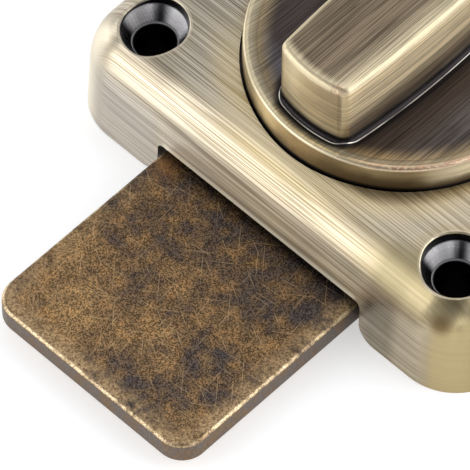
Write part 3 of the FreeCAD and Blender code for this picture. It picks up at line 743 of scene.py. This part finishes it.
@dataclass(frozen=True)
class KnobBronze:
    """Antique bronze left dark in the dish and rubbed bright along the bar's and the rim's edges, with painted light
    and shade on the bar, the rim and the dish.
    """

    pale: Colour = (0.70, 0.60, 0.40)
    brown: Colour = (0.19, 0.140, 0.093)
    gold: Colour = (0.52, 0.40, 0.22)
    bar_side: Colour = (0.66, 0.53, 0.33)
    umber: Colour = (0.13, 0.088, 0.042)
    dark: Colour = (0.060, 0.048, 0.044)
    bluish: Colour = (0.115, 0.105, 0.112)
    crease_shade: Colour = (0.020, 0.017, 0.018)
    bright: Colour = (0.90, 0.84, 0.74)
    copper: Colour = (0.50, 0.29, 0.19)
    knob_radius: float = 19.7
    ridge: float = 19.05
    dish_edge: float = 17.75
    dish_floor: float = 18.05
    dish_fall: float = 1.0
    wall_foot: float = 15.6
    wall_top: float = 19.15
    bar_top: float = 29.25
    bar_half_width: float = 6.23
    bar_side_radius: float = 180.0
    bar_end: float = 17.1
    bar_corner: float = 1.5
    bar_foot_highlight: float = 0.52
    bar_foot_highlight_half_width: float = 0.045
    nick_x: Span = (15.6, 17.4)
    nick_y: Span = (3.4, 5.9)
    painted_shade_way: Span = (0.86, 0.51)
    fine_pitch_and_length: Span = (0.18, 30.0)
    wide_pitch_and_length: Span = (0.6, 60.0)
    hair_pitch_and_length: Span = (0.13, 11.0)
    cloud_size: float = 6.0
    fleck_size: float = 0.30
    roughness: Span = (0.27, 0.36)
    line_depth: float = 0.010
    shine_spread: float = 0.7

    def material(self) -> bpy.types.Material:
        """Builds the knob's material.

        Returns:
            The finished material.
        """
        g = Graph("knob_bronze_brushed")
        fine = g.brushed(Axis.X, *self.fine_pitch_and_length, 11.0)
        wide = g.brushed(Axis.X, *self.wide_pitch_and_length, 12.0)
        hair = g.brushed(Axis.X, *self.hair_pitch_and_length, 13.0)
        cloud = g.noise((self.cloud_size,) * 3, 3.0, seed=14.0)
        fleck = g.noise((self.fleck_size,) * 3, 3.0, seed=15.0, crisp=0.7)
        at = self.places(g, fine)

        colour = self.bar(g, at, wide, fleck)
        ridge_colour = g.mix(g.times(g.contrast(fine, 0.10, 0.3, 0.8), g.ramp(g.y, 4.0, 14.0)), self.pale, self.copper)
        colour = g.mix(g.ramp(at.radius, self.ridge - 0.7, self.ridge - 0.2), colour, ridge_colour)
        on_rim = g.times(at.outer_wall, g.ramp(g.z, self.wall_top + 0.25, self.wall_top - 0.2))
        colour = g.mix(on_rim, colour, self.rim(g, at, cloud))
        colour = g.mix(at.low, colour, self.dish(g, at, cloud, g.sum("ADD", hair, fine)))

        strength = self.line_strength(g, at)
        lines = g.sum("ADD", g.contrast(fine, 0.10, -0.14, 0.14), g.contrast(wide, 0.16, -0.04, 0.04))
        lines = g.sum("ADD", lines, g.contrast(hair, 0.05, -0.28, 0.28))
        colour = g.shade(colour, g.sum("MULTIPLY_ADD", lines, strength, g.ramp(cloud, 0.30, 0.70, 0.94, 1.06)))

        g.wire(g.weighed(0.9, (self.dull(g, at), -0.55)), g.shader.inputs["Metallic"])
        g.comb(g.mix(g.sum("LESS_THAN", g.lean_z, 0.45), Axis.X.direction, g.along_wall()), self.shine_spread)
        edges = g.times(g.ramp(g.lean_z, 0.96, 0.85), g.ramp(g.lean_z, 0.15, 0.35), g.ramp(at.under_crown, 2.25, 1.25))
        roughness = g.weighed(g.ramp(fine, 0.2, 0.8, *self.roughness), (edges, 0.14))
        relief = g.times(g.sum("ADD", fine, hair), 0.5, g.ramp(strength, 0.1, 0.8, 0.3, 1.0))
        return g.finish(colour, roughness, relief, self.line_depth)

    def places(self, g: Graph, fine: Socket) -> KnobPlaces:
        """Works out where a point lies on the knob.

        Args:
            g: the graph to build it in.
            fine: the fine brush lines, which fray the dish's outer edge.

        Returns:
            The point's distances and shares.
        """
        radius = g.reach(g.x, g.y)
        half_width = g.sum("DIVIDE", g.times(g.x, g.x), 2 * self.bar_side_radius)
        half_width = g.sum("SUBTRACT", self.bar_half_width, half_width)
        to_end = g.sum("SUBTRACT", self.bar_end, radius)
        to_near, to_far = g.sum("SUBTRACT", half_width, g.y), g.sum("ADD", half_width, g.y)
        past_side = g.most(g.sum("SUBTRACT", self.bar_corner, g.sum("MINIMUM", to_near, to_far)), 0.0)
        past_end = g.most(g.sum("SUBTRACT", self.bar_corner, to_end), 0.0)

        outward = g.sum("DIVIDE", radius, self.dish_edge)
        dish = g.sum("MULTIPLY_ADD", g.times(outward, outward), self.dish_fall, self.dish_floor)
        above_dish = g.sum("SUBTRACT", g.z, dish)
        ragged_radius = g.sum("ADD", radius, g.ramp(fine, 0.3, 0.7, -0.12, 0.12))
        outer_wall = g.ramp(radius, self.knob_radius - 0.45, self.knob_radius - 0.2)
        return KnobPlaces(
            radius=radius,
            to_end=to_end,
            to_near=to_near,
            to_far=to_far,
            off_bar=g.sum("SUBTRACT", g.reach(past_side, past_end), self.bar_corner),
            under_crown=g.sum("SUBTRACT", self.bar_top, g.z),
            outer_wall=outer_wall,
            far_rim=g.ramp(g.sum("DIVIDE", g.y, radius), 0.70, 0.88),
            bar_walls=g.times(g.ramp(g.lean_z, 0.5, 0.2), g.ramp(above_dish, 0.6, 1.2)),
            low=g.times(g.ramp(above_dish, 1.5, 0.8), g.ramp(ragged_radius, self.ridge + 0.2, self.ridge - 0.7)),
        )

    def bar(self, g: Graph, at: KnobPlaces, wide: Socket, fleck: Socket) -> Socket:
        """The bar: a brown crown painted darker towards -Y, within pale edges widened along +Y into a painted
        highlight, gold and brown walls painted lighter above and darker below, and a copper nick at one corner.

        Args:
            g: the graph to build it in.
            at: where the point lies on the knob.
            wide: the broad brush lines.
            fleck: the finest noise.

        Returns:
            The bar's colour.
        """
        crown = g.times(g.ramp(g.lean_z, 0.90, 0.99), g.ramp(at.under_crown, 1.75, 0.75))
        # Pale band along the +Y edge: edge wear widened into a painted highlight.
        near_edge_highlight = g.ramp(g.sum("ADD", at.to_near, g.ramp(wide, 0.3, 0.7, -0.6, 0.6)), 0.6, 3.9)
        middle = g.times(near_edge_highlight, g.ramp(at.to_far, 0.2, 1.1), g.ramp(at.to_end, 0.5, 1.9))
        # Painted shade: the crown darker towards -Y.
        crown_colour_and_shade = g.shade(self.brown, g.ramp(g.y, -4.5, 3.0, 0.72, 1.05))
        colour = g.mix(g.times(crown, middle, 0.92), self.pale, crown_colour_and_shade)

        # Painted light and shade on the bar's end: darker low down and towards -Y.
        end_light_and_shade = g.mix(g.ramp(g.z, 18.8, 22.0, 0.0, 0.9), self.gold, self.pale)
        end_light_and_shade = g.shade(end_light_and_shade, g.ramp(g.y, -5.5, 0.5, 0.76, 1.15))
        # Painted light and shade on the bar's sides: brown low down, pale gold higher up.
        side_light_and_shade = g.mix(g.ramp(g.z, 19.6, 25.5), self.brown, self.bar_side)
        wall_colour = g.mix(g.ramp(g.absolute(g.lean_x), 0.5, 0.9), side_light_and_shade, end_light_and_shade)
        colour = g.mix(at.bar_walls, colour, wall_colour)
        corner = g.ramp(g.absolute(g.times(g.lean_x, g.lean_y)), 0.12, 0.40)
        colour = g.mix(g.times(corner, at.bar_walls, 0.5), colour, self.gold)
        nick = g.times(g.band(g.x, *self.nick_x, 0.2), g.band(g.y, *self.nick_y, 0.3))
        nick = g.times(nick, g.ramp(at.under_crown, 1.05, 0.55), g.contrast(fleck, 0.10))
        return g.over(colour, nick, 0.7, self.copper)

    def rim(self, g: Graph, at: KnobPlaces, cloud: Socket) -> Socket:
        """The rim's wall: darker towards its foot, with painted shade at the very foot and ahead, gold above, and a
        painted highlight where the light falls.

        Args:
            g: the graph to build it in.
            at: where the point lies on the knob.
            cloud: the broadest noise.

        Returns:
            The rim wall's colour.
        """
        climb = g.sum("ADD", g.z, g.ramp(cloud, 0.3, 0.7, -0.5, 0.5))
        colour = g.mix(g.ramp(climb, self.wall_foot + 0.4, self.wall_top - 0.4), self.umber, self.gold)
        ahead = g.weighed(0.0, (g.y, self.painted_shade_way[1]), (g.x, self.painted_shade_way[0]))
        ahead = g.sum("DIVIDE", ahead, at.radius)
        # Painted shade on the rim's wall ahead.
        painted_shade = g.times(g.ramp(ahead, 0.86, 0.97), g.ramp(climb, self.wall_top + 0.2, self.wall_foot + 1.5))
        colour = g.shade(g.over(colour, painted_shade, 0.75, self.umber), 0.92)
        # Painted highlight where the light falls on the rim.
        lit = g.most(at.far_rim, g.times(g.ramp(g.y, 0.0, -7.0), 0.45))
        lit = g.times(lit, g.ramp(climb, self.wall_foot + 0.4, self.wall_top - 1.2))
        colour = g.over(colour, lit, 0.95, self.pale)
        # Painted shade at the foot of the rim, in the gap to the case.
        return g.mix(g.ramp(g.z, self.wall_foot - 0.1, self.wall_foot + 0.6), self.crease_shade, colour)

    def dish(self, g: Graph, at: KnobPlaces, cloud: Socket, lines: Socket) -> Socket:
        """The dish's floor: dark, with a painted bluish sheen where open and by the bar's end, rubbed near the ridge
        and painted lighter right by it, painted shade at the bar's foot and a painted highlight line round it.

        Args:
            g: the graph to build it in.
            at: where the point lies on the knob.
            cloud: the broadest noise.
            lines: the fine brush lines added up.

        Returns:
            The dish's colour.
        """
        # Painted reflection: a bluish sheen on the open side and by the bar's end.
        open_side = g.times(g.ramp(at.off_bar, 3.0, 8.5), g.ramp(g.y, 2.0, 6.0))
        by_end = g.times(g.ramp(at.off_bar, 1.0, 2.0), g.ramp(g.x, 10.0, 12.5), g.ramp(g.y, -3.5, -7.5))
        by_end = g.times(by_end, g.ramp(at.radius, 17.5, 16.7))
        painted_sheen = g.times(g.most(open_side, by_end), g.ramp(cloud, 0.36, 0.60, 0.5, 1.0))
        colour = g.mix(g.times(painted_sheen, 0.95), self.dark, self.bluish)
        rubbed = g.times(g.ramp(at.radius, self.ridge - 3.4, self.ridge - 0.4), g.ramp(lines, 0.80, 1.12, 0.6, 1.0))
        # Rubbed gold near the ridge, turning pale right by it as painted light.
        rubbed_and_lit_colour = g.mix(g.ramp(at.radius, self.ridge - 1.4, self.ridge - 0.4), self.gold, self.pale)
        colour = g.over(colour, rubbed, 0.8, rubbed_and_lit_colour)
        # Painted shade in the crease at the bar's foot.
        colour = g.mix(g.ramp(at.off_bar, 1.9, 0.7), colour, self.crease_shade)
        # Painted highlight: a bright line in the fillet round the bar's foot.
        half = self.bar_foot_highlight_half_width
        line = g.band(at.off_bar, self.bar_foot_highlight - half, self.bar_foot_highlight + half, 0.05)
        return g.mix(g.times(line, g.ramp(cloud, 0.35, 0.6, 0.35, 1.0)), colour, self.bright)

    def line_strength(self, g: Graph, at: KnobPlaces) -> Socket:
        """How much the brush lines show: less on rounds, near the ridge and at the crown's end.

        Args:
            g: the graph to build it in.
            at: where the point lies on the knob.

        Returns:
            The lines' strength, 1 where they show fully.
        """
        strength = g.ramp(g.lean_z, 0.93, 0.99, 0.45, 1.0)
        strength = g.times(strength, g.ramp(at.radius, self.ridge - 2.8, self.ridge - 0.8, 1.0, 0.3))
        from_end = g.sum("ADD", at.to_end, g.ramp(at.under_crown, 2.25, 3.25, 0.0, 9.0))
        strength = g.times(strength, g.ramp(from_end, 0.4, 1.8, 0.15, 1.0))
        return g.most(strength, g.ramp(g.absolute(g.lean_y), 0.8, 0.98, 0.0, 0.9))

    def dull(self, g: Graph, at: KnobPlaces) -> Socket:
        """Where dirt takes the mirror off the metal: the bar's far side, the far rim and the dish's edge.

        Args:
            g: the graph to build it in.
            at: where the point lies on the knob.

        Returns:
            The dirt's share.
        """
        bar_side = g.times(g.ramp(g.lean_y, 0.6, 0.9), g.ramp(g.z, 20.0, 24.0))
        far_rim = g.times(at.outer_wall, at.far_rim, 1.3)
        dish_edge = g.times(at.low, g.band(at.radius, self.ridge - 1.3, self.ridge - 0.2, 0.4))
        return g.most(bar_side, far_rim, dish_edge)


@dataclass(frozen=True)
class BoltGrain:
    """The bolt's noises, from the broadest to the finest."""

    cloud: Socket
    mottle: Socket
    grain: Socket
    speck: Socket


@dataclass(frozen=True)
class BoltBronze:
    """Mottled bronze: brown with golden grains and blue-grey clouds, finely scratched, worn pale at its edges, with
    painted shade towards the mouth.
    """

    brown: Colour = (0.155, 0.098, 0.054)
    gold: Colour = (0.40, 0.255, 0.115)
    slate: Colour = (0.080, 0.066, 0.062)
    worn: Colour = (0.78, 0.64, 0.42)
    scratch: Colour = (0.60, 0.43, 0.24)
    rust: Colour = (0.42, 0.19, 0.055)
    steel: Colour = (0.115, 0.100, 0.095)
    half_width: float = 16.3
    nose: float = 55.2
    corner: float = 3.5
    mouth: float = 25.2
    stain_x: float = 26.4
    stain_y: float = -14.6
    stain_radius: float = 3.0
    cloud_size: float = 9.0
    mottle_size: float = 2.4
    grain_size: float = 0.30
    speck_size: float = 0.17
    scratch_width: float = 0.08
    scratch_share: float = 0.11
    scratch_angles_and_lengths: tuple[Span, ...] = ((8, 4.0), (40, 5.5), (62, 3.5), (96, 4.5), (126, 5.0))
    roughness: Span = (0.40, 0.54)
    grain_depth: float = 0.04

    def material(self) -> bpy.types.Material:
        """Builds the bolt's material.

        Returns:
            The finished material.
        """
        g = Graph("bolt_bronze_mottled")
        noises = BoltGrain(
            cloud=g.noise((self.cloud_size,) * 3, 5.0, seed=21.0),
            mottle=g.noise((self.mottle_size,) * 3, 7.0, seed=22.0, crisp=0.66),
            grain=g.noise((self.grain_size,) * 3, 4.0, seed=23.0, crisp=0.7),
            speck=g.noise((self.speck_size,) * 3, 1.0, seed=24.0),
        )
        scratched = self.scratched(g, noises)
        inset = self.inset(g)
        edge = self.edge(g, noises, inset)
        colour = g.over(self.mottled(g, noises), scratched, 0.7, self.scratch)
        colour = self.worn_down(g, noises, colour, inset, edge)
        # Painted shade: the bolt darker by the case's mouth, a little lighter towards its nose.
        level = g.ramp(g.x, self.mouth, self.mouth + 3.0, 0.85, 1.05)
        colour = g.shade(colour, g.times(level, g.ramp(g.x, self.mouth, self.nose - 6.0, 0.96, 1.10)))

        g.shader.inputs["Metallic"].default_value = 1.0
        roughness = g.weighed(g.ramp(noises.grain, 0.3, 0.7, *self.roughness), (edge, -0.12))
        relief = g.weighed(0.0, (noises.grain, 0.5), (noises.speck, 0.4), (scratched, -0.5))
        return g.finish(colour, roughness, relief, self.grain_depth)

    def mottled(self, g: Graph, noises: BoltGrain) -> Socket:
        """Slate, brown, gold and rust in clouds, with painted shade darker towards the mouth and +Y.

        Args:
            g: the graph to build it in.
            noises: the bolt's noises.

        Returns:
            The mottled colour.
        """
        # Painted shade: the clouds darker towards the mouth and +Y.
        from_mouth = g.ramp(g.x, self.mouth + 2.0, self.nose - 4.0)
        painted_shade = g.sum("MULTIPLY_ADD", g.outside(from_mouth), 0.07, g.times(g.ramp(g.y, -10.0, 8.0), 0.05))
        value = g.sum("SUBTRACT", g.sum("MULTIPLY_ADD", noises.cloud, 0.55, g.times(noises.mottle, 0.60)), painted_shade)
        colour = g.mix(g.ramp(value, 0.38, 0.58), self.slate, self.brown)
        golden = g.times(g.ramp(value, 0.46, 0.80), g.ramp(noises.grain, 0.36, 0.60, 0.72, 1.0))
        rusty = g.times(g.ramp(noises.mottle, 0.46, 0.62), g.ramp(value, 0.50, 0.66))
        colour = g.over(g.mix(golden, colour, self.gold), rusty, 0.18, self.rust)
        colour = g.shade(colour, g.contrast(noises.grain, 0.14, 0.84, 1.10))
        return g.shade(colour, g.contrast(noises.speck, 0.07, 0.46, 1.52))

    def scratched(self, g: Graph, noises: BoltGrain) -> Socket:
        """Where the fine scratches are.

        Args:
            g: the graph to build it in.
            noises: the bolt's noises.

        Returns:
            The scratches' share.
        """
        first_seed = 31.0
        marks = [
            g.dashes(angle, self.scratch_width, length, self.scratch_share, first_seed + turn)
            for turn, (angle, length) in enumerate(self.scratch_angles_and_lengths)
        ]
        in_patches = g.times(g.ramp(noises.grain, 0.30, 0.50, 0.4, 1.0), g.ramp(noises.cloud, 0.40, 0.56, 0.4, 1.0))
        return g.times(g.most(*marks), in_patches)

    def inset(self, g: Graph) -> Socket:
        """How far a point lies in from the bolt's outline, in millimetres.

        Args:
            g: the graph to build it in.

        Returns:
            The distance, 0 at the outline.
        """
        past_x = g.sum("SUBTRACT", g.x, self.nose - self.corner)
        past_y = g.sum("SUBTRACT", g.absolute(g.y), self.half_width - self.corner)
        round_part = g.reach(g.most(past_x, 0.0), g.most(past_y, 0.0))
        return g.sum("SUBTRACT", self.corner, g.sum("ADD", round_part, g.sum("MINIMUM", g.most(past_x, past_y), 0.0)))

    def edge(self, g: Graph, noises: BoltGrain, inset: Socket) -> Socket:
        """Where the round top edge is worn to bright metal."""
        edge = g.times(g.ramp(inset, 0.50, 0.24), g.ramp(g.lean_z, 0.12, 0.35))
        return g.times(edge, g.ramp(noises.speck, 0.36, 0.58, 0.1, 1.0), g.ramp(noises.mottle, 0.40, 0.60, 0.05, 0.9))

    def worn_down(self, g: Graph, noises: BoltGrain, colour: Socket, inset: Socket, edge: Socket) -> Socket:
        """The colour with its rubbed margin, bright edge, rust stain and steel-grey walls.

        Args:
            g: the graph to build it in.
            noises: the bolt's noises.
            colour: the colour so far.
            inset: how far in from the outline the point lies.
            edge: the bright edge's share.

        Returns:
            The worn colour.
        """
        margin = g.times(g.ramp(inset, 3.4, 0.5), g.ramp(noises.mottle, 0.32, 0.56))
        margin = g.times(margin, g.most(g.ramp(g.x, 44.0, 53.0, 0.35, 1.0), g.ramp(g.y, 9.0, 14.0)))
        margin_colour = g.mix(g.ramp(noises.grain, 0.36, 0.62), self.brown, self.scratch)
        colour = g.mix(edge, g.over(colour, margin, 0.8, margin_colour), self.worn)
        from_stain = g.reach(g.sum("SUBTRACT", g.x, self.stain_x), g.sum("SUBTRACT", g.y, self.stain_y))
        stain = g.times(g.ramp(from_stain, self.stain_radius, 0.4), g.ramp(noises.grain, 0.35, 0.6))
        colour = g.over(colour, stain, 0.55, self.rust)
        wall = g.times(g.ramp(g.lean_z, 0.40, 0.15), g.ramp(inset, 0.4, 0.15))
        wall = g.times(wall, g.ramp(noises.mottle, 0.34, 0.50, 0.65, 1.0))
        wall_colour = g.mix(g.ramp(noises.mottle, 0.42, 0.60), self.steel, self.brown)
        return g.over(colour, wall, 0.95, g.shade(wall_colour, g.contrast(noises.grain, 0.14, 0.75, 1.30)))


@dataclass(frozen=True)
class PlainMetal:
    """Turned, rolled or sheet metal of the hidden pieces, with a faint grain and stains."""

    name: str
    colour: Colour
    stain: Colour
    grain: Axis = Axis.X
    roughness: float = 0.34
    metallic: float = 1.0
    line_pitch: float = 0.16
    line_length: float = 5.0
    line_depth: float = 0.01
    stain_size: float = 3.5

    def material(self) -> bpy.types.Material:
        """Builds the metal's material.

        Returns:
            The finished material.
        """
        g = Graph(self.name)
        fine = g.streaks(self.grain, self.line_pitch, self.line_length, 41.0)
        cloud = g.noise((self.stain_size,) * 3, 4.0, seed=42.0)
        colour = g.mix(g.ramp(cloud, 0.42, 0.66, 0.0, 0.6), self.colour, self.stain)
        colour = g.shade(colour, g.ramp(fine, 0.30, 0.70, 0.86, 1.10))
        roughness = g.ramp(cloud, 0.30, 0.70, self.roughness - 0.06, self.roughness + 0.10)
        g.shader.inputs["Metallic"].default_value = self.metallic
        return g.finish(colour, roughness, fine, self.line_depth)


def dress(node: str, material: bpy.types.Material) -> None:
    """Gives a CAD node its finish.

    Args:
        node: the node's name.
        material: its material.
    """
    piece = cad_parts[node]
    for slot in piece.material_slots:
        slot.material = material
    log.info("%s wears %s", node, material.name)


@dataclass
class Case:
    """The case with what is fixed inside it."""

    finish: CaseBronze = CaseBronze()
    sheet: PlainMetal = PlainMetal("plate_zinc", (0.52, 0.52, 0.53), (0.40, 0.41, 0.45))
    screw: PlainMetal = PlainMetal("screw_zinc_yellow", (0.46, 0.39, 0.22), (0.28, 0.24, 0.16), Axis.Y)
    spring: PlainMetal = PlainMetal("spring_blued", (0.20, 0.22, 0.28), (0.12, 0.12, 0.16))
    bush: PlainMetal = PlainMetal("bush_turned", (0.74, 0.58, 0.28), (0.52, 0.38, 0.16))
    washer: PlainMetal = PlainMetal("washer_acetal", (0.05, 0.048, 0.045), (0.08, 0.075, 0.07), metallic=0.0)

    def build(self) -> None:
        """Dresses every piece of the case."""
        dress("case", self.finish.material())
        dress("back_plate", self.sheet.material())
        dress("bearing_bush", self.bush.material())
        dress("thrust_washer", self.washer.material())
        screw, spring = self.screw.material(), self.spring.material()
        for count in range(1, 5):
            dress(f"back_plate_screw_{count}", screw)
        for count in (1, 2):
            dress(f"detent_spring_{count}", spring)
            dress(f"detent_spring_screw_{count}", screw)


@dataclass
class Knob:
    """The knob, its spindle and the driver below it."""

    finish: KnobBronze = KnobBronze()
    steel: PlainMetal = PlainMetal("spindle_turned", (0.56, 0.56, 0.57), (0.40, 0.40, 0.42), Axis.Y)
    driver: PlainMetal = PlainMetal("driver_sintered", (0.36, 0.36, 0.37), (0.24, 0.23, 0.22), roughness=0.5)

    def build(self) -> None:
        """Dresses the knob and what turns with it."""
        dress("thumb_turn", self.finish.material())
        steel, driver = self.steel.material(), self.driver.material()
        for node in ("knob_spindle", "wave_washer", "driver_pin", "driver_screw", "driver_washer"):
            dress(node, steel)
        for node in ("driver", "driver_roller"):
            dress(node, driver)


@dataclass
class Bolt:
    """The flat bolt."""

    finish: BoltBronze = BoltBronze()

    def build(self) -> None:
        """Dresses the bolt."""
        dress("bolt", self.finish.material())


@dataclass(frozen=True)
class SoftBox:
    """A soft studio light that faces the object."""

    name: str
    aim: Point
    distance: float
    width: float
    height: float
    radiance: float
    centre: Point = (0.012, 0.0, 0.012)

    def build(self) -> None:
        """Places the light at its distance along its aim."""
        light = bpy.data.lights.new(self.name, "AREA")
        light.shape = "RECTANGLE"
        light.size, light.size_y = self.width, self.height
        light.energy = self.radiance * math.pi * self.width * self.height
        holder = bpy.data.objects.new(self.name, light)
        bpy.context.scene.collection.objects.link(holder)
        way = Vector(self.aim).normalized()
        turn = (-way).to_track_quat("-Z", "Y").to_matrix().to_4x4()
        holder.matrix_world = Matrix.Translation(Vector(self.centre) + way * self.distance) @ turn


@dataclass(frozen=True)
class Studio:
    """Floor, lights, surroundings and the camera at the photograph's angle."""

    azimuth: float = 134.336
    elevation: float = 55.765
    roll: float = -0.201
    target: Point = (0.0254702, -0.0038804, 0.0)
    distance: float = 0.855794
    lens: float = 536.17
    sensor: float = 36.0
    clip: Span = (0.05, 10.0)
    floor_size: float = 6.0
    floor_gap: float = 0.0001
    floor_colour: Colour = (0.72, 0.72, 0.72)
    floor_glow: float = 0.50
    floor_roughness: float = 0.9
    floor_gloss: float = 0.2
    unlit_half_x: float = 23.0
    unlit_half_y: float = 30.0
    surround: Colour = (0.78, 0.79, 0.82)
    behind_camera: Colour = (0.16, 0.15, 0.15)
    dark_angles: Span = (38.0, 12.0)
    world_strength: float = 0.8
    lights: tuple[SoftBox, ...] = (
        SoftBox("light_left", (0.78, -0.50, 0.41), 0.38, 0.26, 0.275, 2.25),
        SoftBox("light_right", (-0.42, 0.72, 0.52), 0.38, 0.30, 0.34, 2.3),
        SoftBox("light_top", (-0.30, -0.25, 0.92), 0.50, 0.30, 0.20, 0.7),
        SoftBox("light_corner", (0.15, -0.95, 0.24), 0.42, 0.18, 0.18, 2.0),
        SoftBox("light_front", (0.54, 0.77, 0.28), 0.50, 0.20, 0.13, 1.6),
    )

    def build(self) -> None:
        """Builds the floor, the surroundings, the lights and the camera."""
        self.floor()
        self.surroundings()
        for light in self.lights:
            light.build()
        self.camera()
        scene = bpy.context.scene
        scene.view_settings.view_transform = "Standard"
        scene.view_settings.look = "None"

    def floor(self) -> None:
        """A plain pale floor just under the case's foot."""
        bpy.ops.object.select_all(action="DESELECT")
        bpy.ops.mesh.primitive_plane_add(size=self.floor_size, location=(0, 0, -self.floor_gap))
        floor = bpy.context.object
        floor.name = "floor"
        g = Graph("floor_pale")
        beyond_x = g.sum("SUBTRACT", g.absolute(g.x), self.unlit_half_x)
        beyond_y = g.sum("SUBTRACT", g.absolute(g.y), self.unlit_half_y)
        glow = g.ramp(g.most(beyond_x, beyond_y), 0.0, 1.0, 0.0, self.floor_glow)
        g.wire(glow, g.shader.inputs["Emission Strength"])
        g.shader.inputs["Emission Color"].default_value = (1.0, 1.0, 1.0, 1.0)
        g.shader.inputs["Specular IOR Level"].default_value = self.floor_gloss
        floor.data.materials.append(g.finish(self.floor_colour, self.floor_roughness))

    def surroundings(self) -> None:
        """Soft grey surroundings, dark behind the camera."""
        world = bpy.data.worlds.new("studio")
        bpy.context.scene.world = world
        world.use_nodes = True
        tree = world.node_tree
        source = tree.nodes.new("ShaderNodeTexCoord")
        facing = tree.nodes.new("ShaderNodeVectorMath")
        facing.operation = "DOT_PRODUCT"
        facing.inputs[1].default_value = self.back()
        tree.links.new(source.outputs["Generated"], facing.inputs[0])
        step = tree.nodes.new("ShaderNodeMapRange")
        step.interpolation_type = "SMOOTHSTEP"
        for name, angle in zip(("From Min", "From Max"), self.dark_angles):
            step.inputs[name].default_value = math.cos(math.radians(angle))
        tree.links.new(facing.outputs["Value"], step.inputs["Value"])
        mix = tree.nodes.new("ShaderNodeMix")
        mix.data_type = "RGBA"
        mix.inputs[6].default_value = (*self.surround, 1.0)
        mix.inputs[7].default_value = (*self.behind_camera, 1.0)
        tree.links.new(step.outputs[0], mix.inputs[0])
        background = tree.nodes["Background"]
        tree.links.new(mix.outputs[2], background.inputs["Color"])
        background.inputs["Strength"].default_value = self.world_strength

    def back(self) -> Vector:
        """The way from the object to the camera."""
        a, e = math.radians(self.azimuth), math.radians(self.elevation)
        return Vector((math.sin(a) * math.cos(e), -math.cos(a) * math.cos(e), math.sin(e)))

    def camera(self) -> None:
        """The camera, turned and placed as the photograph was taken."""
        back = self.back()
        a, r = math.radians(self.azimuth), math.radians(self.roll)
        level = Vector((math.cos(a), math.sin(a), 0.0))
        upward = back.cross(level)
        right = level * math.cos(r) + upward * math.sin(r)
        up = upward * math.cos(r) - level * math.sin(r)
        turn = Matrix((right, up, back)).transposed().to_4x4()
        data = bpy.data.cameras.new("camera")
        data.lens = self.lens
        data.sensor_width = self.sensor
        data.clip_start, data.clip_end = self.clip
        camera = bpy.data.objects.new("camera", data)
        bpy.context.scene.collection.objects.link(camera)
        camera.matrix_world = Matrix.Translation(Vector(self.target) + back * self.distance) @ turn
        bpy.context.scene.camera = camera


def main() -> None:
    """Dresses the sub-assemblies in order and sets the studio up."""
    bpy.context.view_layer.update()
    for part in (Case(), Knob(), Bolt(), Studio()):
        part.build()
        log.info("%s is done", type(part).__name__)


if __name__ == "__main__":
    logging.basicConfig(level=logging.INFO, format="%(message)s")
    main()
